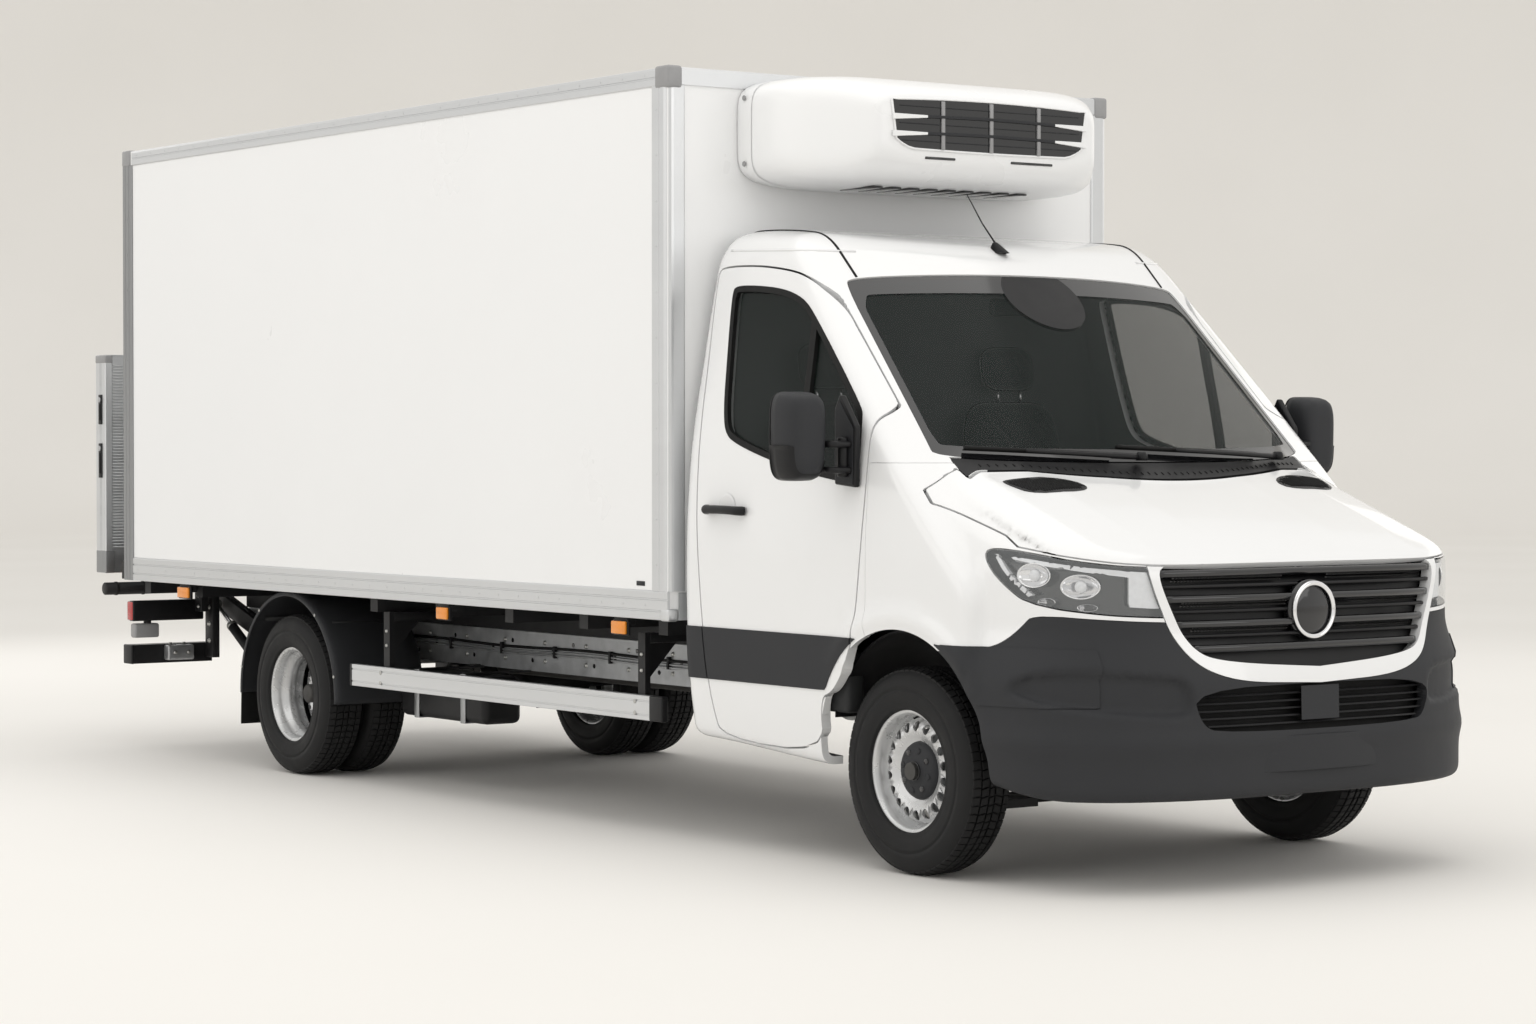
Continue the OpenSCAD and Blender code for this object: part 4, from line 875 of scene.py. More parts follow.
# grille: white surround, recessed black back, slats and a plain disc
b = B()
V, T = region(g_(f_sur, 0.0), o_(f_gri, 0.0), lambda x, y, z: z - hood_line(y) + GAP, o_(f_hood, GAP))
sheet(b, V, T, "paint", off=0.001, rim=0.040)
b.obj("grille_surround", "chassis", (), "paint_white")
b = B()
V, T = region(g_(f_gri, 0.0), lambda x, y, z: z - hood_line(y) + 0.0025)
sheet(b, V, T, "black", off=-0.045, rim=0.002)
def half_w(z):
    xs = np.linspace(0, 0.64, 321); v = sdf_poly(GRI, xs, np.full(321, z)); k = np.nonzero(v < -0.003)[0]
    return float(xs[k[-1]]) if len(k) else 0.0
def slat(z, dep0, dep1, th, key, w0=None, n_=61):
    w_ = (w0 or half_w(z)) - 0.002
    xs = np.linspace(-w_, w_, n_); y0 = front_y(xs, z + 0 * xs)
    prof = [(dep0, th * 0.35), (dep0 - 0.002, 0), (dep0 + 0.001, -th * 0.5), (dep1, -th * 0.5 - 0.004), (dep1, th * 0.5 - 0.004), (dep0 + 0.010, th * 0.5)]
    V_ = np.concatenate([np.stack([xs, y0 + dy, z + dz + 0 * xs], 1) for dy, dz in prof]); k_ = len(prof)
    F = [(a * n_ + i, a * n_ + i + 1, ((a + 1) % k_) * n_ + i + 1, ((a + 1) % k_) * n_ + i) for a in range(k_) for i in range(n_ - 1)]
    F += [tuple(a * n_ for a in range(k_)), tuple(a * n_ + n_ - 1 for a in reversed(range(k_)))]
    b.add(V_, F, key)
for z in (1.026, 0.945, 0.864, 0.786): slat(z, 0.006, 0.050, 0.024, "gloss")
for z in (0.985, 0.905, 0.826): slat(z, 0.012, 0.050, 0.012, "black")
# perforated strips: rows of small studs above each slat
for z in (1.004, 0.924, 0.845):
    w_ = half_w(z) - 0.05
    for r_ in range(2):
        xs = np.arange(-w_, w_, 0.0125) + 0.006 * r_; xs = xs[np.abs(xs) > 0.10]
        y0 = front_y(xs, z + 0 * xs)
        for x_, y_ in zip(xs, y0):
            b.add([(x_ - 0.0045, y_ + 0.020, z - 0.006 + r_ * 0.010), (x_ + 0.0045, y_ + 0.020, z - 0.006 + r_ * 0.010), (x_ + 0.0045, y_ + 0.020, z + 0.001 + r_ * 0.010), (x_ - 0.0045, y_ + 0.020, z + 0.001 + r_ * 0.010),
                   (x_, y_ + 0.012, z - 0.0025 + r_ * 0.010), (x_ - 0.0045, y_ + 0.034, z - 0.006 + r_ * 0.010), (x_ + 0.0045, y_ + 0.034, z - 0.006 + r_ * 0.010)],
                  [(0, 1, 4), (1, 2, 4), (2, 3, 4), (3, 0, 4), (0, 5, 6, 1)], "gloss", smooth=False)
yb = float(front_y(np.array([0.0]), np.array([0.899]))[0])
b.add(*lathe([(0.0001, 0.006), (0.062, 0.006), (0.068, 0.004), (0.098, -0.004), (0.100, -0.03), (0.0001, -0.03)], (0, yb + 0.002, 0.899), "y", 64, -1), "gloss")
b.add(*lathe([(0.080, 0.010), (0.086, 0.016), (0.092, 0.015), (0.096, 0.008), (0.094, -0.002), (0.079, -0.002), (0.080, 0.010)], (0, yb + 0.002, 0.899), "y", 72, -1), "chrome")
b.obj("grille_insert", "chassis", ("grille",), "plastic_black")
# headlights: housing, light guides, reflectors and cover
b = B()
lampg = lambda x, y, z: f_lamp(x, y, z) + 0.0015
nsur = lambda x, y, z: -f_sur(x, y, z) + 0.002
V, T = region(lampg, nsur, lambda x, y, z: z - hood_line(y) + 0.003)
sheet(b, V, T, "gloss", off=-0.055, rim=0.002)
wall = boundary(T)
# side wall of the housing
Nn = normals(V); u, inv = np.unique(wall, return_inverse=True); inv = inv.reshape(-1, 2); n_ = len(u)
b.add(np.concatenate([V[u] - Nn[u] * 0.002, V[u] - Nn[u] * 0.056]), [(i, j, n_ + j, n_ + i) for i, j in inv] + [(j, i, n_ + i, n_ + j) for i, j in inv], "gloss", smooth=False)
def lamp_rel(x, y, z):       # along the lamp: 0 at the rear tip, 1 at the inner end
    return np.clip(np.hypot(np.abs(x) - 0.94, y + 0.41) / 0.545, 0, 1)
lt = lambda x, y, z: hood_line(y) - z              # depth below the upper edge
def drl(x, y, z):
    u_ = lamp_rel(x, y, z)
    wtop = 0.020 + 0.010 * u_
    top_ = np.abs(lt(x, y, z) - 0.022 - 0.004 * u_) - wtop * 0.5
    inner_ = np.maximum(0.905 - u_, lt(x, y, z) - 0.135)
    return np.minimum(top_, inner_)
Vd, Td = region(lambda x, y, z: np.maximum(drl(x, y, z), -(-f_lamp(x, y, z) - 0.012)), V=V, T=T)
sheet(b, Vd, Td, "clearlens", off=-0.012, rim=0.020)
def tail(x, y, z):            # bright blade from the rear tip down and forward
    u_ = lamp_rel(x, y, z); return np.maximum(np.abs(lt(x, y, z) - 0.040 - 0.32 * u_) - 0.010, np.maximum(u_ - 0.34, 0.03 - u_))
Vd, Td = region(lambda x, y, z: np.maximum(tail(x, y, z), -(-f_lamp(x, y, z) - 0.010)), V=V, T=T)
sheet(b, Vd, Td, "clearlens", off=-0.016, rim=0.018)
for s in (1, -1):
    for (u0, zc, rx, rz, dpt) in ((0.34, 1.020, 0.062, 0.040, 0.020), (0.64, 0.985, 0.066, 0.040, 0.020), (0.42, 0.934, 0.032, 0.013, 0.030), (0.68, 0.918, 0.034, 0.012, 0.030)):
        # a point on the lamp at that share of its length
        ang = np.linspace(0, 1, 200); xs = 0.945 - 0.30 * ang ** 1.25; ys = front_y(xs, zc + 0 * xs, -1.05, 0.0)
        u_ = lamp_rel(xs, ys, zc); k = int(np.argmin(np.abs(u_ - u0)))
        c = np.array([xs[k], ys[k], zc]); nn = normals(np.array([c]))[0]
        tdir = np.cross([0, 0, 1.0], nn); tdir /= np.linalg.norm(tdir); up_ = np.cross(nn, tdir)
        rings = [(1.0, -dpt), (0.96, -dpt + 0.004), (0.90, -dpt - 0.004), (0.62, -dpt - 0.020), (0.30, -dpt - 0.030), (0.001, -dpt - 0.033)]
        Vv = []; n_ = 36
        for q, d in rings:
            for a in np.arange(n_) * 2 * math.pi / n_:
                p = c + nn * d + tdir * (rx * q * math.cos(a)) + up_ * (rz * q * math.sin(a)); Vv.append((s * p[0], p[1], p[2]))
        F = [(i * n_ + j, i * n_ + (j + 1) % n_, (i + 1) * n_ + (j + 1) % n_, (i + 1) * n_ + j) for i in range(len(rings) - 1) for j in range(n_)]
        if s < 0: F = [tuple(reversed(f)) for f in F]
        b.add(Vv, F, "chrome")
        if rx > 0.05:
            q = c - nn * (dpt + 0.010); Vl, Fl = lathe([(0.0001, 0.016), (0.012, 0.014), (0.019, 0.007), (0.021, 0.0), (0.0001, -0.002)], (0, 0, 0), "z", 24)
            R_ = np.stack([tdir, up_, nn], 1); Vl = (np.array(Vl) @ R_.T) + q; Vl[:, 0] *= s
            b.add(Vl, [tuple(reversed(f)) for f in Fl] if s < 0 else Fl, "clearlens")
b.obj("headlight_housings", "chassis", ("headlights",), "lamp")
b = B(); sheet(b, V, T, "lens", off=0.0015, rim=0.004); b.obj("headlight_covers", "chassis", (), "lamp")
# ---------------------------------------------------------------- wheels and tyres
TR, TW = 0.348, 0.195
def tyre_piece(b, cx, cy, s):
    """Tyre with rounded shoulders, bead, side-wall steps and a cut tread. s is not used."""
    h = TW / 2
    half = [(0.2045, h - 0.020), (0.2065, h - 0.010), (0.212, h - 0.006), (0.222, h - 0.0075), (0.228, h - 0.004), (0.246, h - 0.0015), (0.262, h), (0.270, h - 0.0002),
            (0.2705, h - 0.0012), (0.278, h - 0.0012), (0.2785, h - 0.0002), (0.290, h - 0.001), (0.303, h - 0.0035), (0.316, h - 0.008), (0.326, h - 0.014), (0.334, h - 0.0215)]
    n = 120
    prof = half + [(r, -t) for r, t in reversed(half)]
    V, F = lathe(prof, (cx, cy, TR), "x", n, 1.0)
    m = len(half)
    F = [f for k, f in enumerate(F) if k // n != m - 1]      # the tread goes between the shoulders
    b.add(V, F, "tyre")
    # inner face of the bead
    b.add(*lathe([(0.2045, h - 0.020), (0.2045, -h + 0.020)], (cx, cy, TR), "x", n, 1.0), "tyre")
    # tread: three long grooves, with cuts across in the ribs
    nb = 72
    ribs = [(-0.0765, -0.050, 3), (-0.043, -0.0035 - 0.012, 0), (-0.0085, 0.0085, 0), (0.0155, 0.043, 0), (0.050, 0.0765, 3)]
    base = 0.3385
    b.add(*lathe([(0.334, -h + 0.0215), (base, -h + 0.025), (base, h - 0.025), (0.334, h - 0.0215)][::-1], (cx, cy, TR), "x", n, 1.0), "tyre")
    rt = TR - 0.0004
    for (x0, x1, kind) in ribs:
        for i in range(nb):
            a0 = 2 * math.pi * (i + 0.07) / nb; a1 = 2 * math.pi * (i + 0.93) / nb
            sk = 0.022 * (1 if x0 + x1 > 0 else -1) if kind == 0 else 0.010 * (1 if x0 > 0 else -1)
            P = []
            for rr, inn in ((base - 0.002, 0.0), (rt - 0.0015, 0.0), (rt, 0.0016)):
                for (aa, xx, sx) in ((a0, x0, 1), (a1, x0, 1), (a1, x1, -1), (a0, x1, -1)):
                    # shoulder ribs fall away at their outer edge
                    drop = 0.0
                    if kind and abs(xx) > 0.07: drop = 0.0075
                    da = inn / TR * (1 if aa == a0 else -1)
                    ang = aa + da + sk * (xx - (x0 + x1) / 2) / 0.03
                    r_ = rr - drop
                    P.append((cx + xx + sx * inn, cy + r_ * math.cos(ang), TR + r_ * math.sin(ang)))
            F = [(0, 4, 5, 1), (1, 5, 6, 2), (2, 6, 7, 3), (3, 7, 4, 0), (4, 8, 9, 5), (5, 9, 10, 6), (6, 10, 11, 7), (7, 11, 8, 4), (8, 11, 10, 9)]
            b.add(P, F, "tyre", smooth=False)

def rim_piece(b, cx, cy, s, dish, front):
    """Pressed steel wheel. dish is how far its disc sits out from the middle along s."""
    c = (cx, cy, TR)
    o = 0.0765
    prof = [(0.1905, -o + 0.006), (0.1985, -o), (0.2085, -o - 0.001), (0.2115, -o + 0.002), (0.2108, -o + 0.006), (0.204, -o + 0.008), (0.2035, -0.040), (0.196, -0.030), (0.176, -0.020), (0.176, 0.010),
            (0.196, 0.020), (0.2035, 0.034), (0.204, o - 0.008), (0.2108, o - 0.006), (0.2115, o - 0.002), (0.2085, o + 0.001), (0.1985, o), (0.1915, o - 0.005), (0.190, 0.040),
            (0.1835, 0.022), (0.170, 0.012), (0.170, -0.022), (0.1835, -0.032), (0.190, -0.044), (0.1905, -o + 0.006)]
    b.add(*lathe(prof, c, "x", 120, s), "wheel")
    # disc with a ring of round hand holes, made as rings of quads that leave the holes open
    nh = 18; per = 12; n = nh * per
    rh, hr = 0.1490, 0.0150 if front else 0.0125
    def z_at(r):                 # section of the disc along the axis, out from the middle
        if front: return np.interp(r, [0.060, 0.084, 0.094, 0.120, 0.135, 0.149, 0.163, 0.174, 0.184], [0.030, 0.030, 0.028, 0.044, 0.050, 0.0500, 0.042, 0.026, 0.006])
        return np.interp(r, [0.060, 0.100, 0.112, 0.128, 0.149, 0.165, 0.176, 0.184], [0.0, 0.0, 0.006, 0.024, 0.030, 0.022, 0.010, 0.004])
    sh = 0.0 if front else dish
    if not front:
        pass
    for side_, key in ((1, "wheel"), (-1, "wheel")):
        th = 0.0 if side_ > 0 else -0.008
        Vv = []; F = []
        ang = 2 * math.pi * np.arange(n) / n
        def ring(rs, zs=None):
            k0 = len(Vv)
            for j in range(n):
                r_ = rs[j] if hasattr(rs, "__len__") else rs
                a_ = ang[j]
                Vv.append((c[0] + s * (sh + th + float(z_at(r_))), c[1] + r_ * math.cos(a_), c[2] + r_ * math.sin(a_)))
            return k0
        # rim-side ring, hole edges and hub-side ring, per sector
        k_out = ring(0.184); k_o2 = ring(0.172)
        k_i2 = ring(0.1265); k_i1 = ring(0.112); k_h = ring(0.094); k_b = ring(0.062)
        for (k0, k1) in ((k_out, k_o2), (k_i2, k_i1), (k_i1, k_h), (k_h, k_b)):
            for j in range(n): F.append((k0 + j, k0 + (j + 1) % n, k1 + (j + 1) % n, k1 + j))
        for h_ in range(nh):
            ac = 2 * math.pi * (h_ + 0.5) / nh
            # the hole's edge and a square frame of the sector round it
            m_ = 24; k0 = len(Vv)
            for q in range(m_):
                t = 2 * math.pi * q / m_
                rr = rh + hr * 1.15 * math.cos(t); aa = ac + hr * math.sin(t) / rh
                Vv.append((c[0] + s * (sh + th + float(z_at(rr))), c[1] + rr * math.cos(aa), c[2] + rr * math.sin(aa)))
            # frame: per+1 points on the outer ring, per+1 on the inner ring
            fr = [(k_o2 + (h_ * per + q) % n) for q in range(per + 1)] + [(k_i2 + (h_ * per + q) % n) for q in range(per, -1, -1)]
            # start both loops at the same angle and join them
            def tang(idx):
                p = Vv[idx]; rr = math.hypot(p[1] - c[1], p[2] - c[2]); aa = math.atan2(p[2] - c[2], p[1] - c[1])
                d_ = (aa - ac + math.pi) % (2 * math.pi) - math.pi
                return math.atan2(d_ * rh / 0.026, (rr - rh) / 0.0228)
            fa = sorted(((tang(i) % (2 * math.pi), i) for i in fr)); ho = [(2 * math.pi * q / m_, k0 + q) for q in range(m_)]
            i = j = 0; A = fa; H = ho; na, nh_ = len(A), len(H)
            steps = 0
            while i < na or j < nh_:
                ta = A[(i + 1) % na][0] + (2 * math.pi if i + 1 >= na else 0); thh = H[(j + 1) % nh_][0] + (2 * math.pi if j + 1 >= nh_ else 0)
                if j >= nh_ or (i < na and ta <= thh):
                    F.append((A[i % na][1], A[(i + 1) % na][1], H[j % nh_][1])); i += 1
                else:
                    F.append((A[i % na][1], H[(j + 1) % nh_][1], H[j % nh_][1])); j += 1
        # same facing for every face
        good = []
        Va = np.array(Vv)
        for f in F:
            p = Va[list(f)]; nn = np.cross(p[1] - p[0], p[2] - p[0])
            if nn[0] * s * side_ < 0: f = tuple(reversed(f))
            good.append(f)
        b.add(Vv, good, key)
        if side_ > 0:
            # hole walls
            for h_ in range(nh):
                ac = 2 * math.pi * (h_ + 0.5) / nh; m_ = 24; W = []
                for dth in (0.0, -0.008):
                    for q in range(m_):
                        t = 2 * math.pi * q / m_; rr = rh + hr * 1.15 * math.cos(t); aa = ac + hr * math.sin(t) / rh
                        W.append((c[0] + s * (sh + dth + float(z_at(rr))), c[1] + rr * math.cos(aa), c[2] + rr * math.sin(aa)))
                b.add(W, [(q, (q + 1) % m_, m_ + (q + 1) % m_, m_ + q) for q in range(m_)], "wheel")
    # ring that joins the disc to the well
    b.add(*lathe([(0.184, sh + float(z_at(0.184))), (0.1845, sh + float(z_at(0.184)) - 0.02), (0.178, sh - 0.03), (0.170, sh - 0.022)] if front else
                 [(0.190, sh + 0.002), (0.184, sh + float(z_at(0.184))), (0.184, sh - 0.014), (0.190, sh - 0.016)], c, "x", 96, s), "wheel")
    if front:
        # dark cap with plain centre disc and eight nut covers
        b.add(*lathe([(0.0001, 0.060), (0.026, 0.060), (0.031, 0.0585), (0.033, 0.054), (0.060, 0.053), (0.080, 0.049), (0.092, 0.042), (0.0985, 0.030), (0.0985, 0.020), (0.0001, 0.018)], c, "x", 72, s), "plastic")
        b.add(*lathe([(0.0285, 0.0604), (0.0305, 0.0625), (0.0325, 0.0604), (0.0325, 0.056), (0.0285, 0.056), (0.0285, 0.0604)], c, "x", 56, s), "gloss")
        for k in range(8):
            a_ = 2 * math.pi * (k + 0.3) / 8
            p = (c[0] + s * 0.046, c[1] + 0.068 * math.cos(a_), c[2] + 0.068 * math.sin(a_))
            b.add(*disc(p, 0.0105, "x", 18, 0.009, s), "gloss" if k % 2 else "plastic")
    else:
        for k in range(6):
            a_ = 2 * math.pi * k / 6 + 0.2
            p = (c[0] + s * (sh + 0.001), c[1] + 0.0825 * math.cos(a_), c[2] + 0.0825 * math.sin(a_))
            b.add(*hexbolt(p, "x", 0.0125, 0.018, s), "bolt")
            b.add(*disc((p[0], p[1], p[2]), 0.017, "x", 20, 0.003, s), "bolt")
    # valve
    b.add(*tube([(c[0] + s * (sh + 0.02), c[1], c[2] + 0.186), (c[0] + s * (sh + 0.045), c[1], c[2] + 0.180), (c[0] + s * (sh + 0.058), c[1], c[2] + 0.176)], 0.0038, 8), "rubber")

for s, nm in ((1, "left"), (-1, "right")):
    cx = s * 0.855
    b = B(); tyre_piece(b, cx, 0.0, s); b.obj("front_tyre_%s_tread" % nm, "%s_front_wheel" % nm, ("front_tyre_%s" % nm,), "tyre_rubber")
    b = B(); rim_piece(b, cx, 0.0, s, 0.0, True); b.obj("front_rim_%s" % nm, "%s_front_wheel" % nm, ("front_wheel_%s" % nm,), "wheel_silver")
    b = B(); tyre_piece(b, s * 0.8775, 4.325, s); tyre_piece(b, s * 0.6625, 4.325, -s)
    b.obj("rear_tyres_%s_tread" % nm, "%s_rear_wheels" % nm, ("rear_tyres_%s" % nm,), "tyre_rubber")
    b = B()
    rim_piece(b, s * 0.8775, 4.325, s, -0.100, False)
    rim_piece(b, s * 0.6625, 4.325, -s, -0.106, False)
    # hub that carries both discs, and its cap
    cc = (s * 0.8775, 4.325, TR)
    b.add(*lathe([(0.0001, 0.010), (0.034, 0.010), (0.040, 0.004), (0.042, -0.060), (0.058, -0.072), (0.066, -0.096), (0.066, -0.125), (0.0001, -0.125)], cc, "x", 56, s), "cast")
    for k in range(6):
        a_ = 2 * math.pi * (k + 0.5) / 6 + 0.2
        b.add(*hexbolt((cc[0] + s * (-0.082), cc[1] + 0.050 * math.cos(a_), cc[2] + 0.050 * math.sin(a_)), "x", 0.006, 0.008, s), "bolt")
    b.obj("rear_rims_%s" % nm, "%s_rear_wheels" % nm, ("rear_wheels_%s" % nm,), "wheel_silver")
# ---------------------------------------------------------------- insulated box
M["grey"] = mat("cap_grey", (0.30, 0.30, 0.305), 0.45, vary=0.06, scale=14, bscale=500, bstr=0.3)
M["alu_dark"] = mat("alu_dark", (0.30, 0.305, 0.31), 0.42, metal=0.75, vary=0.10, scale=7, bscale=500, bstr=0.2, stretch=(1, 1, 0.1))
HW = 1.042
def plate(b, pts, plane, t0, t1, key, r=0.0, holes=()):
    V, F = prism(pts, plane, t0, t1, r, 2, holes); b.add(V, F, key, smooth=False)
def bxr(b, a, c, key, r=0.003, seg=2):
    V, F = rbox(a, c, r, seg); b.add(V, F, key)
def both_bx(b, a, c, key, r=0.003, seg=2):
    for s in (1, -1):
        bxr(b, (s * a[0], a[1], a[2]), (s * c[0], c[1], c[2]), key, r, seg)
b = B()
for s in (1, -1):
    mx = lambda P: [(s * x, z) for x, z in P]
    plate(b, mx([(1.036, .800), (1.0455, .800), (1.0470, .803), (1.0470, .828), (1.0438, .8300), (1.0438, .8345), (1.0470, .8365), (1.0470, .870), (1.0438, .8720), (1.0438, .8765),
                 (1.0470, .8785), (1.0470, .900), (1.0450, .905), (1.036, .905)]), "xz", 1.272, 5.732, "alu")
    plate(b, mx([(1.036, 2.735), (1.0455, 2.735), (1.047, 2.738), (1.047, 2.760), (1.0440, 2.7620), (1.0440, 2.7665), (1.047, 2.7685), (1.047, 2.790), (1.0415, 2.8002), (0.990, 2.8022),
                 (0.990, 2.7995), (1.036, 2.797)]), "xz", 1.272, 5.732, "alu")
    plate(b, mx([(1.0415, 1.374), (1.0465, 1.372), (1.0472, 1.366), (1.0472, 1.330), (1.0450, 1.328), (1.0450, 1.322), (1.0472, 1.320), (1.0472, 1.296), (1.0450, 1.284), (1.0392, 1.2748),
                 (1.0300, 1.2698), (1.0200, 1.2688), (0.976, 1.2688), (0.972, 1.2705), (0.972, 1.2747), (1.030, 1.2747), (1.0415, 1.284)]), "xy", 0.905, 2.735, "alu")
    # rear post with its flutes
    plate(b, mx([(1.036, 5.732), (1.0455, 5.732), (1.0475, 5.735), (1.0475, 5.760), (1.0440, 5.762), (1.0440, 5.768), (1.0475, 5.770), (1.0475, 5.796), (1.0440, 5.798), (1.0440, 5.804),
                 (1.0475, 5.806), (1.0475, 5.828), (1.0455, 5.8325), (1.036, 5.8325)]), "xy", 0.800, 2.735, "alu_dark")
    bxr(b, (s * .984, 1.2640, 2.724), (s * 1.0505, 1.352, 2.8065), "grey", 0.011, 3)
    bxr(b, (s * .984, 5.752, 2.732), (s * 1.0500, 5.8350, 2.8060), "grey", 0.009, 3)
    bxr(b, (s * 1.002, 1.2655, .7960), (s * 1.0490, 1.318, .8420), "alu", 0.008, 3)
    for i in range(30):
        y = 1.42 + i * 0.147
        for z in (.852, 2.7790): b.add(*disc((s * 1.0468, y, z), .0042, "x", 8, .0016, s), "alu")
    for i in range(11):
        z = 1.0 + i * 0.165
        b.add(*disc((s * 1.0470, 1.345, z), .0040, "x", 8, .0016, s), "alu"); b.add(*disc((s * 1.0473, 5.783, z), .0040, "x", 8, .0016, s), "alu_dark")
plate(b, [(1.2692, .800), (1.2748, .800), (1.2748, .900), (1.2710, .900), (1.2692, .898)], "yz", -1.000, 1.000, "alu")
plate(b, [(1.2692, 2.738), (1.2748, 2.738), (1.30, 2.7995), (1.30, 2.8022), (1.276, 2.8018), (1.2692, 2.796)], "yz", -.985, .985, "alu")
b.obj("box_edge_rails", "chassis", ("cargo_trim",), "alu")
# joint beads between the panels and the rails, small blank plate
b = B()
for s in (1, -1):
    b.add(*tube([(s * 1.0422, 1.376, .9065), (s * 1.0422, 5.730, .9065)], .0019, 6), "panel")
    b.add(*tube([(s * 1.0422, 1.376, 2.7335), (s * 1.0422, 5.730, 2.7335)], .0019, 6), "panel")
    b.add(*tube([(s * 1.0422, 1.3755, .908), (s * 1.0422, 1.3755, 2.732)], .0019, 6), "panel")
bxr(b, (-1.0438, 1.425, .921), (-1.0415, 1.480, .938), "plastic", .0008, 1)
b.obj("box_sealant", "chassis", (), "panel_white")
# roller shutter
n = 18; z0, z1 = .9615, 2.6585; p = (z1 - z0) / n; bk = []; fr = []
for i in range(n):
    a = z0 + i * p; c = a + p
    bk += [(5.7885, a + .0015), (5.7918, a + .007), (5.7918, c - .007), (5.7885, c - .0015)]
    fr += [(5.7715, a + .0015), (5.7682, a + .007), (5.7682, c - .007), (5.7715, c - .0015)]
b = B(); plate(b, bk + fr[::-1], "yz", -.9565, .9565, "panel")
o = b.obj("shutter_slats", "shutter", ("shutter_curtain",), "panel_white")
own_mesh(o)
b = B()
bxr(b, (-.9565, 5.7645, .918), (.9565, 5.7955, .9595), "alu", .004)
bxr(b, (-.955, 5.770, .9115), (.955, 5.790, .919), "rubber", .003)
bxr(b, (-.115, 5.7950, .927), (.115, 5.7975, .953), "black", .0012)
b.add(*tube(smooth_path([(-.075, 5.797, .940), (-.070, 5.808, .940), (.070, 5.808, .940), (.075, 5.797, .940)], 6), .0045, 10), "black")
for s in (1, -1): b.add(*hexbolt((s * .135, 5.7954, .94), "y", .006, .004, 1), "bolt")
b.obj("shutter_bottom_bar", "shutter", ("shutter_bar",), "alu")
# marker lamps below the side rails
b = B()
for s in (1, -1):
    for y0, y1 in ((5.165, 5.285), (2.850, 2.945), (1.555, 1.660)):
        bxr(b, (s * .990, y0 + .01, .770), (s * 1.030, y1 - .01, .800), "chassis", .002)
        bxr(b, (s * 1.018, y0, .732), (s * 1.032, y1, .790), "black", .004)
        bxr(b, (s * 1.031, y0 + .005, .737), (s * 1.043, y1 - .005, .785), "amber", .005, 3)
b.obj("side_marker_lamps", "chassis", (), "plastic_black")

# ---------------------------------------------------------------- cooling unit
b = B()
ST = [(1.2710, .738, 2.382, 2.778), (1.262, .7395, 2.376, 2.7800), (1.20, .7395, 2.371, 2.7815), (1.05, .730, 2.371, 2.780), (.97, .702, 2.373, 2.775), (.90, .655, 2.377, 2.766), (.84, .603, 2.384, 2.752),
      (.79, .562, 2.396, 2.737), (.757, .538, 2.413, 2.722), (.736, .520, 2.434, 2.707), (.724, .504, 2.455, 2.693), (.719, .488, 2.470, 2.682), (.7175, .470, 2.482, 2.672)]
na = 112; ex = 6.0; V = []
for (y, w_, zb, zt) in ST:
    for k in range(na):
        t = 2 * math.pi * k / na; c_, s_ = math.cos(t), math.sin(t)
        V.append((w_ * math.copysign(abs(c_) ** (2 / ex), c_), y, (zb + zt) / 2 + (zt - zb) / 2 * math.copysign(abs(s_) ** (2 / ex), s_)))
F = [(i * na + k, i * na + (k + 1) % na, (i + 1) * na + (k + 1) % na, (i + 1) * na + k) for i in range(len(ST) - 1) for k in range(na)]
F.append(tuple(range(na - 1, -1, -1))); F.append(tuple((len(ST) - 1) * na + k for k in range(na)))
b.add(V, F, "panel")
def gz(t, x): return t - 0.020 * (x / .46) ** 2 * 0.6
xs = np.linspace(-.455, .455, 33)
# opening: three rows between body-coloured ends, dark louvres and three upright bars
def lo_z(x): return 2.497 + .004 * (x / .455) ** 2 + .032 * max(0.0, (abs(x) - .36) / .095) ** 2
top = [(x, gz(2.684, x)) for x in xs]; bot = [(x * .955, lo_z(x)) for x in xs]
plate(b, top + bot[::-1], "xz", .7120, .7185, "gloss", .0015)
for zc in (2.621, 2.560):
    z_of = lambda x: zc - .010 * (x / .455) ** 2
    P = [(x, z_of(x)) for x in np.linspace(-.448, .448, 27)]
    plate(b, [(x, z + .0055) for x, z in P] + [(x, z - .0055) for x, z in P][::-1], "xz", .7035, .7130, "plastic", .0018)
    for s in (1, -1):
        e = [(s * .452, z_of(.452) + .0105), (s * .30, z_of(.30) + .0045), (s * .30, z_of(.30) - .0045), (s * .452, z_of(.452) - .0105)]
        plate(b, e, "xz", .7015, .7150, "panel", .0012)
for x in (-.225, 0.0, .225): bxr(b, (x - .008, .7050, 2.500), (x + .008, .7140, gz(2.678, x)), "grey", .0025)
for zc in (2.652, 2.590, 2.528): bxr(b, (-.42, .7085, zc - .0015), (.42, .7130, zc + .0015), "plastic", .0006, 1)
b.add(*tube([(x, .7145, z + .001) for x, z in top] + [(x, .7145, z) for x, z in bot[::-1]], .0045, 8, close=True), "panel")
# slots under the opening and in the floor of the shell
for x0, x1, z in ((.10, .30, 2.470), (-.30, -.16, 2.470)): bxr(b, (x0, .7165, z - .005), (x1, .7225, z + .005), "gloss", .003)
for i in range(9): bxr(b, (-.40 + i * .085, .90, 2.3690), (-.40 + i * .085 + .05, 1.10, 2.3760), "gloss", .003)
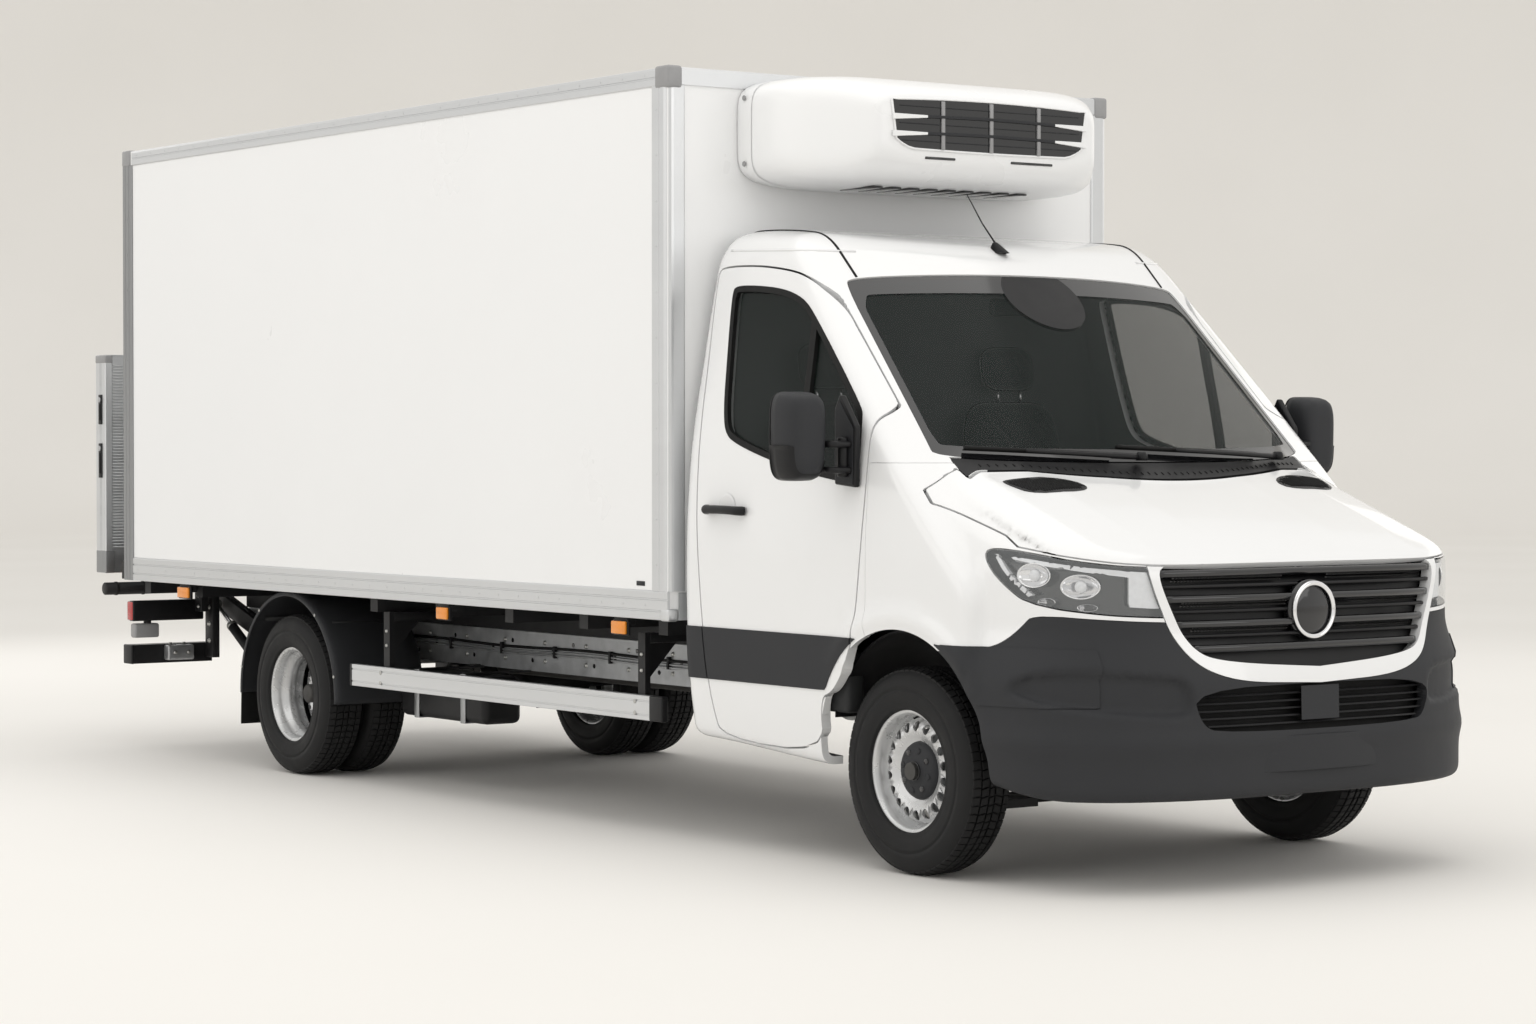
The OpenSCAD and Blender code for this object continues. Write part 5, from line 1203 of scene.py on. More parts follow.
# step seam round the shell and the rear seal
V = []
for (y, w_, zb, zt) in ((1.190, .7415, 2.369, 2.7830), (1.180, .7415, 2.369, 2.7830)):
    for k in range(na):
        t = 2 * math.pi * k / na; c_, s_ = math.cos(t), math.sin(t)
        V.append((w_ * math.copysign(abs(c_) ** (2 / ex), c_), y, (zb + zt) / 2 + (zt - zb) / 2 * math.copysign(abs(s_) ** (2 / ex), s_)))
b.add(V, [(k, (k + 1) % na, na + (k + 1) % na, na + k) for k in range(na)], "panel")
for s in (1, -1):
    for z in (2.46, 2.70): b.add(*disc((s * .7395, 1.225, z), .010, "x", 16, .003, s), "grey")
b.obj("cooling_unit_shell", "chassis", ("refrigeration_unit",), "panel_white")
# evaporator inside the box: housing with two round guards and a drip lip
b = B()
plate(b, [(1.3555, 2.4815), (1.700, 2.4815), (1.834, 2.560), (1.834, 2.700), (1.815, 2.7190), (1.3555, 2.7190)], "yz", -.599, .599, "insul", .010)
for s in (1, -1):
    c0 = (s * .28, 1.768, 2.5225)
    for rr in (.030, .052, .074, .096): b.add(*tube([(c0[0] + rr * math.cos(t), 1.560 + rr * math.sin(t), 2.4785) for t in np.linspace(0, 2 * math.pi, 33)[:-1]], .0016, 6, close=True), "galv")
    b.add(*disc((c0[0], 1.560, 2.4790), .105, "z", 40, .004, -1), "gloss")
for i in range(30): bxr(b, (-.56 + i * .0385, 1.832, 2.575), (-.56 + i * .0385 + .024, 1.8365, 2.690), "gloss", .001, 1)
b.obj("evaporator_housing", "chassis", ("evaporator",), "panel_white")
# ---------------------------------------------------------------- door mirrors
def loft(b, rings, key, cap=True, smooth=True):
    n = len(rings[0]); V = [p for r in rings for p in r]
    F = [(i * n + k, i * n + (k + 1) % n, (i + 1) * n + (k + 1) % n, (i + 1) * n + k) for i in range(len(rings) - 1) for k in range(n)]
    if cap: F += [tuple(range(n - 1, -1, -1)), tuple((len(rings) - 1) * n + k for k in range(n))]
    b.add(V, F, key, smooth)
def sup(w_, h_, n, ex):
    t = 2 * np.pi * np.arange(n) / n
    return np.stack([w_ * np.sign(np.cos(t)) * np.abs(np.cos(t)) ** (2 / ex), h_ * np.sign(np.sin(t)) * np.abs(np.sin(t)) ** (2 / ex)], 1)
def recalc(o):
    bm = bmesh.new(); bm.from_mesh(o.data); bmesh.ops.recalc_face_normals(bm, faces=bm.faces); bm.to_mesh(o.data); bm.free()
for s, nm in ((1, "left"), (-1, "right")):
    b = B()
    # shell: rings stacked along y, domed toward the front
    xc, zc = 1.1885, 1.466; R_ = []
    for y, kx, kz in ((.3290, .955, .965), (.3300, .985, .985), (.318, 1.0, 1.0), (.292, 1.0, 1.0), (.264, .985, .985), (.240, .935, .950), (.222, .850, .895), (.210, .730, .815), (.203, .580, .70), (.2005, .38, .50)):
        P = sup(.083 * kx, .1495 * kz, 64, 4.2)
        # narrower foot, fuller shoulders
        P[:, 0] *= 1.0 + .05 * P[:, 1] / .15
        R_.append([(s * (xc + p[0]), y, zc + p[1]) for p in P])
    loft(b, R_[2:], "plastic")
    # lower cap with a raised edge
    R2 = []
    for y, kx, kz in ((.327, 1.012, 1.006), (.290, 1.018, 1.010), (.255, 1.0, 1.0), (.232, .94, .955), (.214, .82, .87)):
        P = sup(.083 * kx, .1495 * kz, 64, 4.2); P[:, 0] *= 1.0 + .05 * P[:, 1] / .15
        P[:, 1] = np.minimum(P[:, 1], -.030 - .060 * np.clip((.083 - P[:, 0]) / .166, 0, 1))
        R2.append([(s * (xc + p[0]), y, zc + p[1]) for p in P])
    loft(b, R2, "black")
    # rim and two glasses facing back
    P = sup(.081, .147, 64, 4.2); b.add(*tube([(s * (xc + p[0]), .3285, zc + p[1]) for p in P], .0028, 8, close=True), "black")
    for h0, h1 in ((-.128, -.052), (-.040, .134)):
        Q = sup(.069, (h1 - h0) / 2, 40, 5.5)
        plate(b, [(s * (xc + p[0]), zc + (h0 + h1) / 2 + p[1]) for p in Q], "xz", .3270, .3305, "chrome", .001)
    # arms and the hinge post
    for z0_, z1_ in ((1.340, 1.363), (1.427, 1.451)):
        R3 = []
        for x, ky in ((1.012, 1.25), (1.040, 1.05), (1.075, 1.0), (1.112, 1.0)):
            Q = sup(.0275 * ky, (z1_ - z0_) / 2 * ky, 28, 3.4)
            R3.append([(s * x, .220 + q[0], (z0_ + z1_) / 2 + q[1]) for q in Q])
        loft(b, R3, "black")
    b.add(*lathe([(.0001, 1.328), (.018, 1.330), (.0205, 1.336), (.0205, 1.456), (.018, 1.462), (.0001, 1.465)], (s * 1.040, .226, 0), "z", 24), "black")
    # sail plate with a soft edge
    sail = [(.176, 1.2935), (.290, 1.303), (.2905, 1.558), (.2625, 1.607), (.252, 1.603), (.172, 1.498)]
    plate(b, sail, "yz", s * 1.0045, s * 1.0285, "black", .006)
    plate(b, [(.186, 1.304), (.282, 1.312), (.282, 1.545), (.258, 1.585), (.182, 1.490)], "yz", s * 1.0280, s * 1.0310, "plastic", .0015)
    o = b.obj("mirror_%s_assembly" % nm, "%s_door" % nm, ("mirror_%s" % nm,), "plastic_black"); recalc(o)

# ---------------------------------------------------------------- side guards, arches and flaps
b = B()
prof = [(.9565, .421), (.9835, .421), (.9848, .4225), (.9848, .4370), (.9825, .4385), (.9825, .4425), (.9848, .4440), (.9848, .4880), (.9825, .4895), (.9825, .4935), (.9848, .4950), (.9848, .5100), (.9835, .5115), (.9565, .5115)]
for s in (1, -1):
    plate(b, [(s * x, z) for x, z in prof], "xz", 1.480, 3.742, "alu")
    bxr(b, (s * .9545, 1.401, .4195), (s * .9862, 1.486, .5130), "black", .006, 3)
    bxr(b, (s * .9545, 3.738, .4195), (s * .9862, 3.7575, .5130), "black", .005, 3)
    for y in (1.580, 3.495):
        plate(b, [(s * .931, y - .024), (s * .9545, y - .024), (s * .9545, y + .024), (s * .9480, y + .024), (s * .9480, y - .017), (s * .938, y - .017), (s * .938, y + .024), (s * .931, y + .024)], "xy", .421, .740, "black")
        bxr(b, (s * .700, y - .0245, .702), (s * .931, y + .0245, .739), "black", .003)
        plate(b, [(s * .931, .700), (s * .931, .560), (s * .800, .700)], "xz", y - .003, y + .003, "black")
        for z in (.445, .488):
            b.add(*hexbolt((s * .9300, y, z), "x", .0075, .007, -s), "bolt"); b.add(*disc((s * .9846, y, z), .0085, "x", 16, .0022, s), "bolt")
        for z in (.60, .66): b.add(*hexbolt((s * .9545, y, z), "x", .007, .005, s), "bolt")
o = b.obj("side_guard_rails", "chassis", ("side_guards",), "alu")
b = B()
for s in (1, -1):
    yc, zc = 4.325, .350; a0, a1 = math.radians(-2.5), math.radians(182.5)
    # shell with a rolled outer lip and stiffening steps, swept round the wheel
    sec = [(.560, .4390), (.560, .4495), (.640, .4498), (.652, .4465), (.700, .4465), (.712, .4498), (.930, .4498), (.958, .4495), (.975, .4470), (.9845, .4410), (.9850, .4300), (.9835, .4255), (.9795, .4262), (.9795, .4370), (.970, .4392), (.700, .4378), (.640, .4388)]
    m = 72; V = []
    for k in range(m + 1):
        a = a0 + (a1 - a0) * k / m
        for x, r in sec: V.append((s * x, yc + r * math.cos(a), zc + r * math.sin(a)))
    q = len(sec); F = [(i * q + k, i * q + (k + 1) % q, (i + 1) * q + (k + 1) % q, (i + 1) * q + k) for i in range(m) for k in range(q)]
    F += [tuple(range(q)), tuple(m * q + k for k in range(q - 1, -1, -1))]
    b.add(V, F, "plastic")
    for k in (6, 22, 50, 66):
        a = a0 + (a1 - a0) * k / m
        b.add(*disc((s * .9848, yc + .4365 * math.cos(a), zc + .4365 * math.sin(a)), .0065, "x", 14, .002, s), "bolt")
    # flap behind, stay in front and the tubes that hold the shell
    plate(b, [(4.768, .365), (4.776, .365), (4.782, .190), (4.774, .190)], "yz", s * .572, s * .975, "rubber", .0015)
    for i in range(5): bxr(b, (s * (.60 + i * .085), 4.7795, .205), (s * (.606 + i * .085), 4.7825, .33), "rubber", .001, 1)
    for y, z in ((4.020, .6650), (4.630, .6650)):
        b.add(*tube([(s * .44, y, z + .02), (s * .62, y, z), (s * .93, y, z)], .013, 12), "chassis")
o = b.obj("mudguard_shells", "chassis", ("mudguards",), "plastic_black"); recalc(o)

# ---------------------------------------------------------------- tail lamps and under-run bar
b = B()
for s in (1, -1):
    bxr(b, (s * .632, 5.8365, .602), (s * .998, 5.8860, .698), "black", .007, 3)
    bxr(b, (s * .9700, 5.8400, .6045), (s * 1.0000, 5.9035, .6955), "red", .008, 3)
    for x0, x1, k in ((.640, .728, "clearlens"), (.735, .823, "amber"), (.830, .962, "red")):
        bxr(b, (s * x0, 5.8850, .610), (s * x1, 5.9030, .690), k, .007, 3)
        b.add(*tube(smooth_path([(s * (x0 + .012), 5.9035, .622), (s * (x1 - .012), 5.9035, .622)], 3), .0012, 6), k)
    b.add(*lathe([(.0001, .0030), (.024, .0030), (.027, .0)], (s * .896, 5.9025, .65), "y", 32, 1), "red")
    bxr(b, (s * .641, 5.771, .641), (s * .679, 5.840, .739), "chassis", .004)
    for z in (.665, .715): b.add(*hexbolt((s * .6795, 5.800, z), "x", .007, .006, s), "bolt")
    # grey reflector box below
    bxr(b, (s * .860, 5.842, .523), (s * .985, 5.898, .590), "grey", .010, 3)
    bxr(b, (s * .900, 5.846, .588), (s * .930, 5.872, .605), "chassis", .003)
b.obj("tail_lamp_units", "chassis", ("tail_lamps",), "lamp_red")
b = B()
for s in (1, -1):
    plate(b, [(5.8510, .4025), (5.8535, .4005), (5.9365, .4005), (5.9395, .4035), (5.9395, .4865), (5.9365, .4895), (5.8535, .4895), (5.8510, .4865)], "yz", s * .582, s * .990, "chassis", .002)
    bxr(b, (s * .984, 5.8495, .3995), (s * 1.0010, 5.9410, .4905), "black", .006, 3)
    bxr(b, (s * .581, 5.771, .421), (s * .619, 5.851, .739), "chassis", .004)
    bxr(b, (s * .700, 5.800, .415), (s * .835, 5.8525, .485), "galv", .008, 3)
    for x in (.73, .80):
        b.add(*hexbolt((s * x, 5.8510, .4895), "z", .009, .007, 1), "bolt"); b.add(*hexbolt((s * x, 5.80, .45), "y", .009, .007, -1), "bolt")
    for z in (.50, .58, .66): b.add(*hexbolt((s * .6195, 5.805, z), "x", .009, .008, s), "bolt")
b.obj("underrun_beams", "chassis", ("underrun_bar",), "chassis_black")
# blank rear plate with its holder
b = B(); bxr(b, (-.262, 5.948, .624), (.262, 5.956, .742), "black", .003); bxr(b, (-.258, 5.9555, .629), (.258, 5.9590, .737), "panel", .0015)
for s in (1, -1):
    bxr(b, (s * .20, 5.900, .730), (s * .24, 5.951, .802), "chassis", .002)
b.obj("rear_plate_blank", "chassis", (), "plastic_black")

# ---------------------------------------------------------------- tail lift
LP = (5.430, .520); LH = (6.150, .745); PP = (6.170, .850)
b = B()
y0, y1 = 6.1205, 6.2295; zb, zt = .8205, 1.8595
# deck with a folded edge; the sockets for the fork ends stay open as on the solid
def notch(xa, xb): return [(xa, zb), (xa, .925), (xb, .925), (xb, zb)]
out = [(-1.0045, zb), (-.542, zb), (-.542, .925), (-.444, .925), (-.444, zb), (.444, zb), (.444, .925), (.542, .925), (.542, zb), (1.0045, zb), (1.0045, zt), (-1.0045, zt)]
plate(b, out, "xz", y0 + .010, y1 - .008, "alu_worn", .002)
# tread ribs on the load side (it faces the box while the platform stands up)
for i in range(62):
    z = .945 + i * .0142
    bxr(b, (-.965, y0 + .0035, z - .0026), (.965, y0 + .0115, z + .0026), "alu_worn", .0016, 1)
# outer skin planks with grooves
for i in range(7):
    z_0 = .945 + i * .1265
    bxr(b, (-.975, y1 - .009, z_0), (.975, y1 - .002, z_0 + .1215), "alu_worn", .002, 2)
for s in (1, -1):
    # side profile
    plate(b, [(s * .972, y0), (s * 1.0015, y0), (s * 1.0048, y0 + .006), (s * 1.0048, y0 + .040), (s * 1.0020, y0 + .044), (s * 1.0020, y0 + .064), (s * 1.0048, y0 + .068), (s * 1.0048, y1 - .006), (s * 1.0015, y1), (s * .972, y1)], "xy", .9255, zt, "alu")
    bxr(b, (s * .965, y0 - .001, 1.8200), (s * 1.0065, y1 + .001, 1.8610), "grey", .007, 3)
    bxr(b, (s * .955, y0 + .002, .8203), (s * 1.0060, y1 - .002, .9300), "alu_dark", .006, 3)
    # two latches with levers
    for z_0, z_1 in ((1.275, 1.440), (1.530, 1.672)):
        bxr(b, (s * 1.0040, y0 + .036, z_0), (s * 1.0100, y0 + .070, z_1), "black", .003)
        bxr(b, (s * 1.0090, y0 + .045, z_0 + .02), (s * 1.0140, y0 + .060, z_1 - .045), "chassis", .002)
        b.add(*disc((s * 1.0095, y0 + .053, z_1 - .025), .0125, "x", 20, .005, s), "galv")
    # hand grip and amber flags on the outer skin
    b.add(*tube(smooth_path([(s * .60, y1 - .003, 1.70), (s * .605, y1 + .004, 1.70), (s * .695, y1 + .004, 1.70), (s * .70, y1 - .003, 1.70)], 6), .0055, 10), "galv")
    bxr(b, (s * .935, y1 - .003, 1.62), (s * .965, y1 + .004, 1.79), "amber", .003)
    b.add(*lathe([(.0001, -.0005), (.0138, -.0005), (.0138, .0985), (.0001, .0985)], (s * .4435, PP[0], PP[1]), "x", 28, s), "galv")
plate(b, [(y0, 1.8595), (y1, 1.8595), (y1 - .022, 1.8625), (y0 + .006, 1.8625)], "yz", -.965, .965, "alu")
b.obj("platform_deck", "platform", ("lift_platform",), "alu_worn")
b = B()
b.add(*lathe([(.0001, -1.0), (.027, -1.0), (.030, -.997), (.030, .997), (.027, 1.0), (.0001, 1.0)], (0, LH[0], LH[1]), "x", 48), "chassis")
for s in (1, -1):
    plate(b, [(LH[0] - .026, LH[1]), (LH[0] - .020, LH[1] - .018), (LH[0] + .020, LH[1] - .018), (LH[0] + .026, LH[1]), (PP[0] + .024, PP[1] + .010), (PP[0] + .018, PP[1] + .0145), (PP[0] - .018, PP[1] + .0145), (PP[0] - .024, PP[1] + .010)],
          "yz", s * .5065, s * .5355, "galv", .002)
    for x in (.60, .80, .94):
        b.add(*lathe([(.030, -.006), (.0325, -.005), (.0325, .005), (.030, .006)], (s * x, LH[0], LH[1]), "x", 40), "rubber")
b.obj("lift_head_tube", "head", ("lift_head",), "galvanised")
b = B()
al = math.atan2(LH[1] - LP[1], LH[0] - LP[0]); L = math.hypot(LH[0] - LP[0], LH[1] - LP[1])
ca, sa = math.cos(al), math.sin(al)
def arm(u, v): return (LP[0] + u * ca - v * sa, LP[1] + u * sa + v * ca)
o_ = []
for a in np.linspace(math.pi / 2, 3 * math.pi / 2, 15): o_.append(arm(.044 * math.cos(a), .044 * math.sin(a)))
for u, v in ((.09, -.0395), (L - .09, -.0395)): o_.append(arm(u, v))
for a in np.linspace(-math.pi / 2, math.pi / 2, 15): o_.append(arm(L + .042 * math.cos(a), .042 * math.sin(a)))
for u, v in ((L - .09, .0395), (.09, .0395)): o_.append(arm(u, v))
hole = [arm(L + .0305 * math.cos(t), .0305 * math.sin(t)) for t in np.linspace(0, 2 * math.pi, 41)[:-1]]
for s in (1, -1):
    plate(b, o_, "yz", s * .4503, s * .4997, "chassis", .0025, [hole])
    b.add(*lathe([(.0001, .4365), (.0218, .4365), (.0218, .4505)], (0, LP[0], LP[1]), "x", 36, s), "galv")
    b.add(*lathe([(.0001, .5045), (.020, .5045), (.024, .5025), (.024, .4990)], (0, LP[0], LP[1]), "x", 36, s), "galv")
    for u in (.22, .40): b.add(*tube([(s * .4755, *arm(u, .0395)), (s * .4755, *arm(u + .10, .0395))], .004, 8), "chassis")
b.obj("lift_arm_beams", "arms", ("lift_arms",), "chassis_black")
# ---------------------------------------------------------------- seats: crowned pads with sewn channels
def pillow(hx, hy, ht, ex=4.5, nr=34, na=112, p=4.6, chan=(), chan_axis=1, side_pull=0.02, seed=3):
    """Closed stuffed form, flat way in x and y, thickness 2*ht. Its sides pull in between the corners."""
    t = 2 * np.pi * np.arange(na) / na
    cx = np.sign(np.cos(t)) * np.abs(np.cos(t)) ** (2 / ex); cy = np.sign(np.sin(t)) * np.abs(np.sin(t)) ** (2 / ex)
    pull = 1 - side_pull * (1 - np.minimum(1, (np.abs(cx) * np.abs(cy)) * 1.2))
    rho = np.sin(np.linspace(0.02, math.pi / 2, nr))
    up = []; dn = []
    for r in rho:
        X = hx * cx * r * pull; Y = hy * cy * r * pull
        Z = ht * (1 - r ** p) ** (1 / 2.1) if r < .9999 else 0.0
        Z = np.full(na, Z)
        f = (1 - r ** 7)
        q = Y if chan_axis == 1 else X
        d = np.zeros(na)
        for c_ in chan: d += np.exp(-((q - c_) / .0055) ** 2) * .0075 + np.exp(-((q - c_) / .022) ** 2) * .004
        wr = .0016 * np.sin(X * 61 + seed) * np.sin(Y * 47 + 2 * seed) + .0010 * np.sin(X * 133 + Y * 97 + seed)
        up.append(np.stack([X, Y, Z - d * f + wr * f], 1)); dn.append(np.stack([X, Y, -Z * .9 + wr * f], 1))
    V = np.concatenate(up + dn[:-1]); F = []
    for i in range(nr - 1):
        for k in range(na): F.append((i * na + k, (i + 1) * na + k, (i + 1) * na + (k + 1) % na, i * na + (k + 1) % na))
    o_d = nr * na
    def di(i, k): return (nr - 1) * na + k if i == nr - 1 else o_d + i * na + k
    for i in range(nr - 1):
        for k in range(na): F.append((di(i, k), di(i, (k + 1) % na), di(i + 1, (k + 1) % na), di(i + 1, k)))
    F.append(tuple(range(na))); F.append(tuple(o_d + k for k in range(na - 1, -1, -1)))
    return V, F, (hx * cx * pull, hy * cy * pull)
def place(V, c, ax=None):
    V = np.asarray(V, float)
    if ax is not None: V = V @ np.array(ax, float).T
    return V + np.array(c)
def seat_piece(nm, V, F, edge, c, ax):
    b = B(); b.add(place(V, c, ax), F, "fabric")
    E = place(np.stack([edge[0], edge[1], 0 * edge[0]], 1), c, ax); b.add(*tube(E, .0034, 8, close=True), "rubber")
    o = b.obj(nm, "chassis", ("seats",), "seat_fabric"); recalc(o)
for s, nm in ((1, "left"), (-1, "right")):
    X = s * .430; I3 = np.eye(3)
    V, F, E = pillow(.238, .258, .108, chan=(-.11, .03, .15), chan_axis=1, seed=3 + s)
    seat_piece("seat_cushion_" + nm, V, F, E, (X, .820, .870), I3)
    for sx in (1, -1):
        V, F, E = pillow(.045, .235, .062, ex=3.2, nr=20, na=72, seed=5)
        seat_piece("seat_bolster_%s_%s" % (nm, "a" if sx > 0 else "b"), V, F, E, (X + sx * .190, .815, .912), I3)
    a = math.radians(8.4); up_ = np.array([0, math.sin(a), math.cos(a)]); th = np.array([0, -math.cos(a), math.sin(a)])
    ax = np.stack([[1, 0, 0], up_, th], 1)
    V, F, E = pillow(.232, .312, .056, chan=(-.16, -.03, .10, .22), chan_axis=1, seed=8 + s)
    seat_piece("seat_back_" + nm, V, F, E, (X, 1.0880, 1.292), ax)
    V, F, E = pillow(.128, .084, .036, ex=3.4, nr=24, na=84, seed=11)
    seat_piece("seat_headrest_" + nm, V, F, E, (X, 1.1360, 1.7250), ax)
b = B()
for s in (1, -1):
    X = s * .430
    bxr(b, (X - .198, .602, .7015), (X + .198, 1.038, .762), "interior", .012, 3)
    bxr(b, (X - .225, .585, .757), (X + .225, 1.06, .800), "interior", .015, 3)
    for dx in (-.055, .055): b.add(*tube([(X + dx, 1.118, 1.58), (X + dx, 1.131, 1.665)], .0065, 12), "chrome")
    b.add(*tube([(X + s * .24, .62, .80), (X + s * .243, .72, .815), (X + s * .243, .80, .815)], .008, 10), "black")
    # belt tongue and buckle stalk by each cushion
    bxr(b, (X - s * .252, .98, .86), (X - s * .242, 1.02, .985), "black", .004)
    bxr(b, (X - s * .256, .975, .965), (X - s * .238, 1.025, 1.015), "red", .003)
b.obj("seat_frames", "chassis", ("seats",), "interior")

# ---------------------------------------------------------------- dashboard and steering wheel
b = B()
out = smooth_path([(.072, 1.000), (.160, .980), (.236, .962), (.262, .985), (.284, 1.050), (.2885, 1.090), (.282, 1.180), (.270, 1.262), (.250, 1.292), (.206, 1.3255), (.160, 1.3295), (.072, 1.3295)], 4)
plate(b, [tuple(p) for p in out], "yz", -.8285, .8285, "interior")
b.S = [True] * len(b.S)
# instrument hood, centre screen, air outlets, glove box lid, switches
hood_ = [(.150, 1.325), (.290, 1.318), (.300, 1.335), (.292, 1.352), (.220, 1.385), (.150, 1.372)]
plate(b, hood_, "yz", .270, .590, "interior", .010)
bxr(b, (.290, .2945, 1.255), (.570, .3000, 1.330), "gloss", .004)
for x in (.355, .505): b.add(*lathe([(.036, .0), (.040, .004), (.043, .0), (.040, -.002)], (x, .3005, 1.292), "y", 36, 1), "trim")
bxr(b, (-.110, .262, 1.200), (.140, .284, 1.345), "black", .008, 3); bxr(b, (-.100, .2835, 1.212), (.130, .2865, 1.333), "gloss", .003)
for x0 in (-.78, -.205, .150, .670):
    bxr(b, (x0, .272, 1.215), (x0 + .085, .2830, 1.275), "black", .006, 3)
    for i in range(5): bxr(b, (x0 + .006, .2810, 1.223 + i * .0105), (x0 + .079, .2860, 1.2255 + i * .0105), "trim", .0010, 1)
plate(b, [(-.70, 1.020), (-.24, 1.020), (-.24, 1.165), (-.70, 1.165)], "xz", .2830, .2915, "trim", .006); bxr(b, (-.50, .2905, 1.140), (-.44, .2985, 1.155), "black", .003)
bxr(b, (-.115, .268, 1.020), (.145, .2920, 1.180), "trim", .010, 3)
for x in (-.065, .015, .095): b.add(*lathe([(.0001, .016), (.017, .016), (.020, .012), (.021, .0)], (x, .2915, 1.145), "y", 28, 1), "black")
for i in range(6): bxr(b, (-.085 + i * .034, .2910, 1.085), (-.060 + i * .034, .2950, 1.103), "black", .0015)
b.add(*tube(smooth_path([(.015, .285, 1.040), (.015, .350, 1.075), (.015, .372, 1.130)], 6), .010, 12), "rubber"); b.add(*lathe([(.0001, .036), (.014, .032), (.021, .012), (.018, -.012), (.008, -.02)], (.015, .374, 1.135), "z", 24), "black")
# column with its shroud and stalks
c = (.430, .470, 1.210)
V, F = lathe([(.0001, -.230), (.038, -.230), (.041, -.222), (.0415, -.06), (.036, -.037), (.0139, -.036), (.0139, -.006), (.0001, -.006)], c, "z", 36); b.add(rot(V, -40, "X", c), F, "interior")
for sx in (1, -1):
    P = rot([(c[0] + sx * .035, c[1], c[2] - .075), (c[0] + sx * .110, c[1] + .004, c[2] - .070), (c[0] + sx * .155, c[1] + .004, c[2] - .064)], -40, "X", c); b.add(*tube(P, [.008, .0065, .009], 10), "black")
# pedals
for x, h in ((.56, .17), (.43, .17), (.31, .14)):
    b.add(*tube([(x, .10, 1.00), (x, .14, .90), (x, .175, .82)], .007, 8), "chassis"); bxr(b, (x - .032, .165, .790), (x + .032, .182, .845), "rubber", .005)
o = b.obj("dashboard_assembly", "chassis", ("dashboard",), "interior"); recalc(o)
b = B(); P = [(c[0] + .1765 * math.cos(t), c[1] + .1765 * math.sin(t), c[2]) for t in np.linspace(0, 2 * math.pi, 97)[:-1]]
V, F = tube(P, .0135, 16, close=True); b.add(rot(V, -40, "X", c), F, "interior")
V, F = lathe([(.0001, .012), (.040, .011), (.060, .004), (.066, -.006), (.060, -.020), (.030, -.030), (.0142, -.033), (.0142, -.006), (.0001, -.0055)], c, "z", 48); b.add(rot(V, -40, "X", c), F, "black")
for a in (0, 180, 270):
    a_ = math.radians(a); R_ = []
    for r, w_, h_ in ((.045, .026, .008), (.10, .018, .006), (.150, .015, .006), (.172, .018, .008)):
        Q = sup(w_, h_, 20, 3); R_.append([(c[0] + r * math.cos(a_) - q[0] * math.sin(a_), c[1] + r * math.sin(a_) + q[0] * math.cos(a_), c[2] - .004 + q[1]) for q in Q])
    n0 = b.n; R2 = [[tuple(p) for p in rot(r, -40, "X", c)] for r in R_]; loft(b, R2, "trim" if a != 270 else "interior")
b.add(rot(disc((c[0], c[1], c[2] + .0115), .020, "z", 32, .002, 1)[0], -40, "X", c), disc((0, 0, 0), .020, "z", 32, .002, 1)[1], "gloss")
o = b.obj("steering_wheel_rim", "driver_wheel", ("steering_wheel",), "interior"); recalc(o)
# interior mirror
b = B()
bxr(b, (-.115, .560, 1.900), (.115, .590, 1.965), "black", .012, 3); b.add(*tube([(0, .575, 1.935), (0, .555, 1.99)], .007, 10), "black")
bxr(b, (-.107, .5885, 1.907), (.107, .5915, 1.958), "chrome", .003)
b.obj("interior_mirror", "chassis", (), "plastic_black")
# ---------------------------------------------------------------- chassis and running gear
b = B()
for s in (1, -1):
    # channel section with rounded bends
    pr_ = [(.360, .4905), (.4298, .4905), (.4298, .4960), (.3665, .4960), (.3660, .4975), (.3660, .6475), (.3665, .6490), (.4298, .6490), (.4298, .6545), (.362, .6545), (.3602, .6525), (.3602, .4925)]
    hs = []
    plate(b, [(s * (.79 - x), z) for x, z in pr_], "xz", -.798, 5.768, "galv")
    for i in range(40):
        y = -.60 + i * .158
        if abs(y - 4.325) < .05: continue
        z = (.535, .612, .575)[i % 3]
        b.add(*disc((s * .4302, y, z), .0095, "x", 16, .0012, s), "gloss")
        if i % 2: b.add(*hexbolt((s * .4300, y + .06, .612), "x", .0085, .007, s), "bolt"); b.add(*hexbolt((s * .4300, y + .06, .535), "x", .0085, .007, s), "bolt")
b.obj("frame_rails", "chassis", ("chassis_rails",), "galvanised")
b = B()
for y in (-.765, .640, 1.500, 2.600, 3.700, 5.630):
    plate(b, [(y - .0345, .4985), (y + .0345, .4985), (y + .0345, .5050), (y - .0280, .5050), (y - .0280, .6400), (y + .0345, .6400), (y + .0345, .6465), (y - .0345, .6465)], "yz", -.3645, .3645, "chassis", .001)
    for s in (1, -1):
        for z in (.535, .61): b.add(*hexbolt((s * .33, y - .0345, z), "y", .008, .007, -1), "bolt")
b.obj("frame_crossmembers", "chassis", ("chassis_crossmembers",), "chassis_black")
# cable and brake pipes along the rails, with their clips
b = B()
for s in (1, -1):
    for r, z, k in ((.006, .590, "rubber"), (.0045, .575, "galv"), (.0045, .563, "galv")):
        P = [(s * .436, y, z + .004 * math.sin(y * 5.1)) for y in np.linspace(.70, 5.55, 60)]; b.add(*tube(P, r, 8), k)
    for y in np.arange(.9, 5.5, .42): bxr(b, (s * .4295, y, .552), (s * .4445, y + .014, .602), "black", .002)
b.obj("chassis_pipes", "chassis", (), "plastic_black")
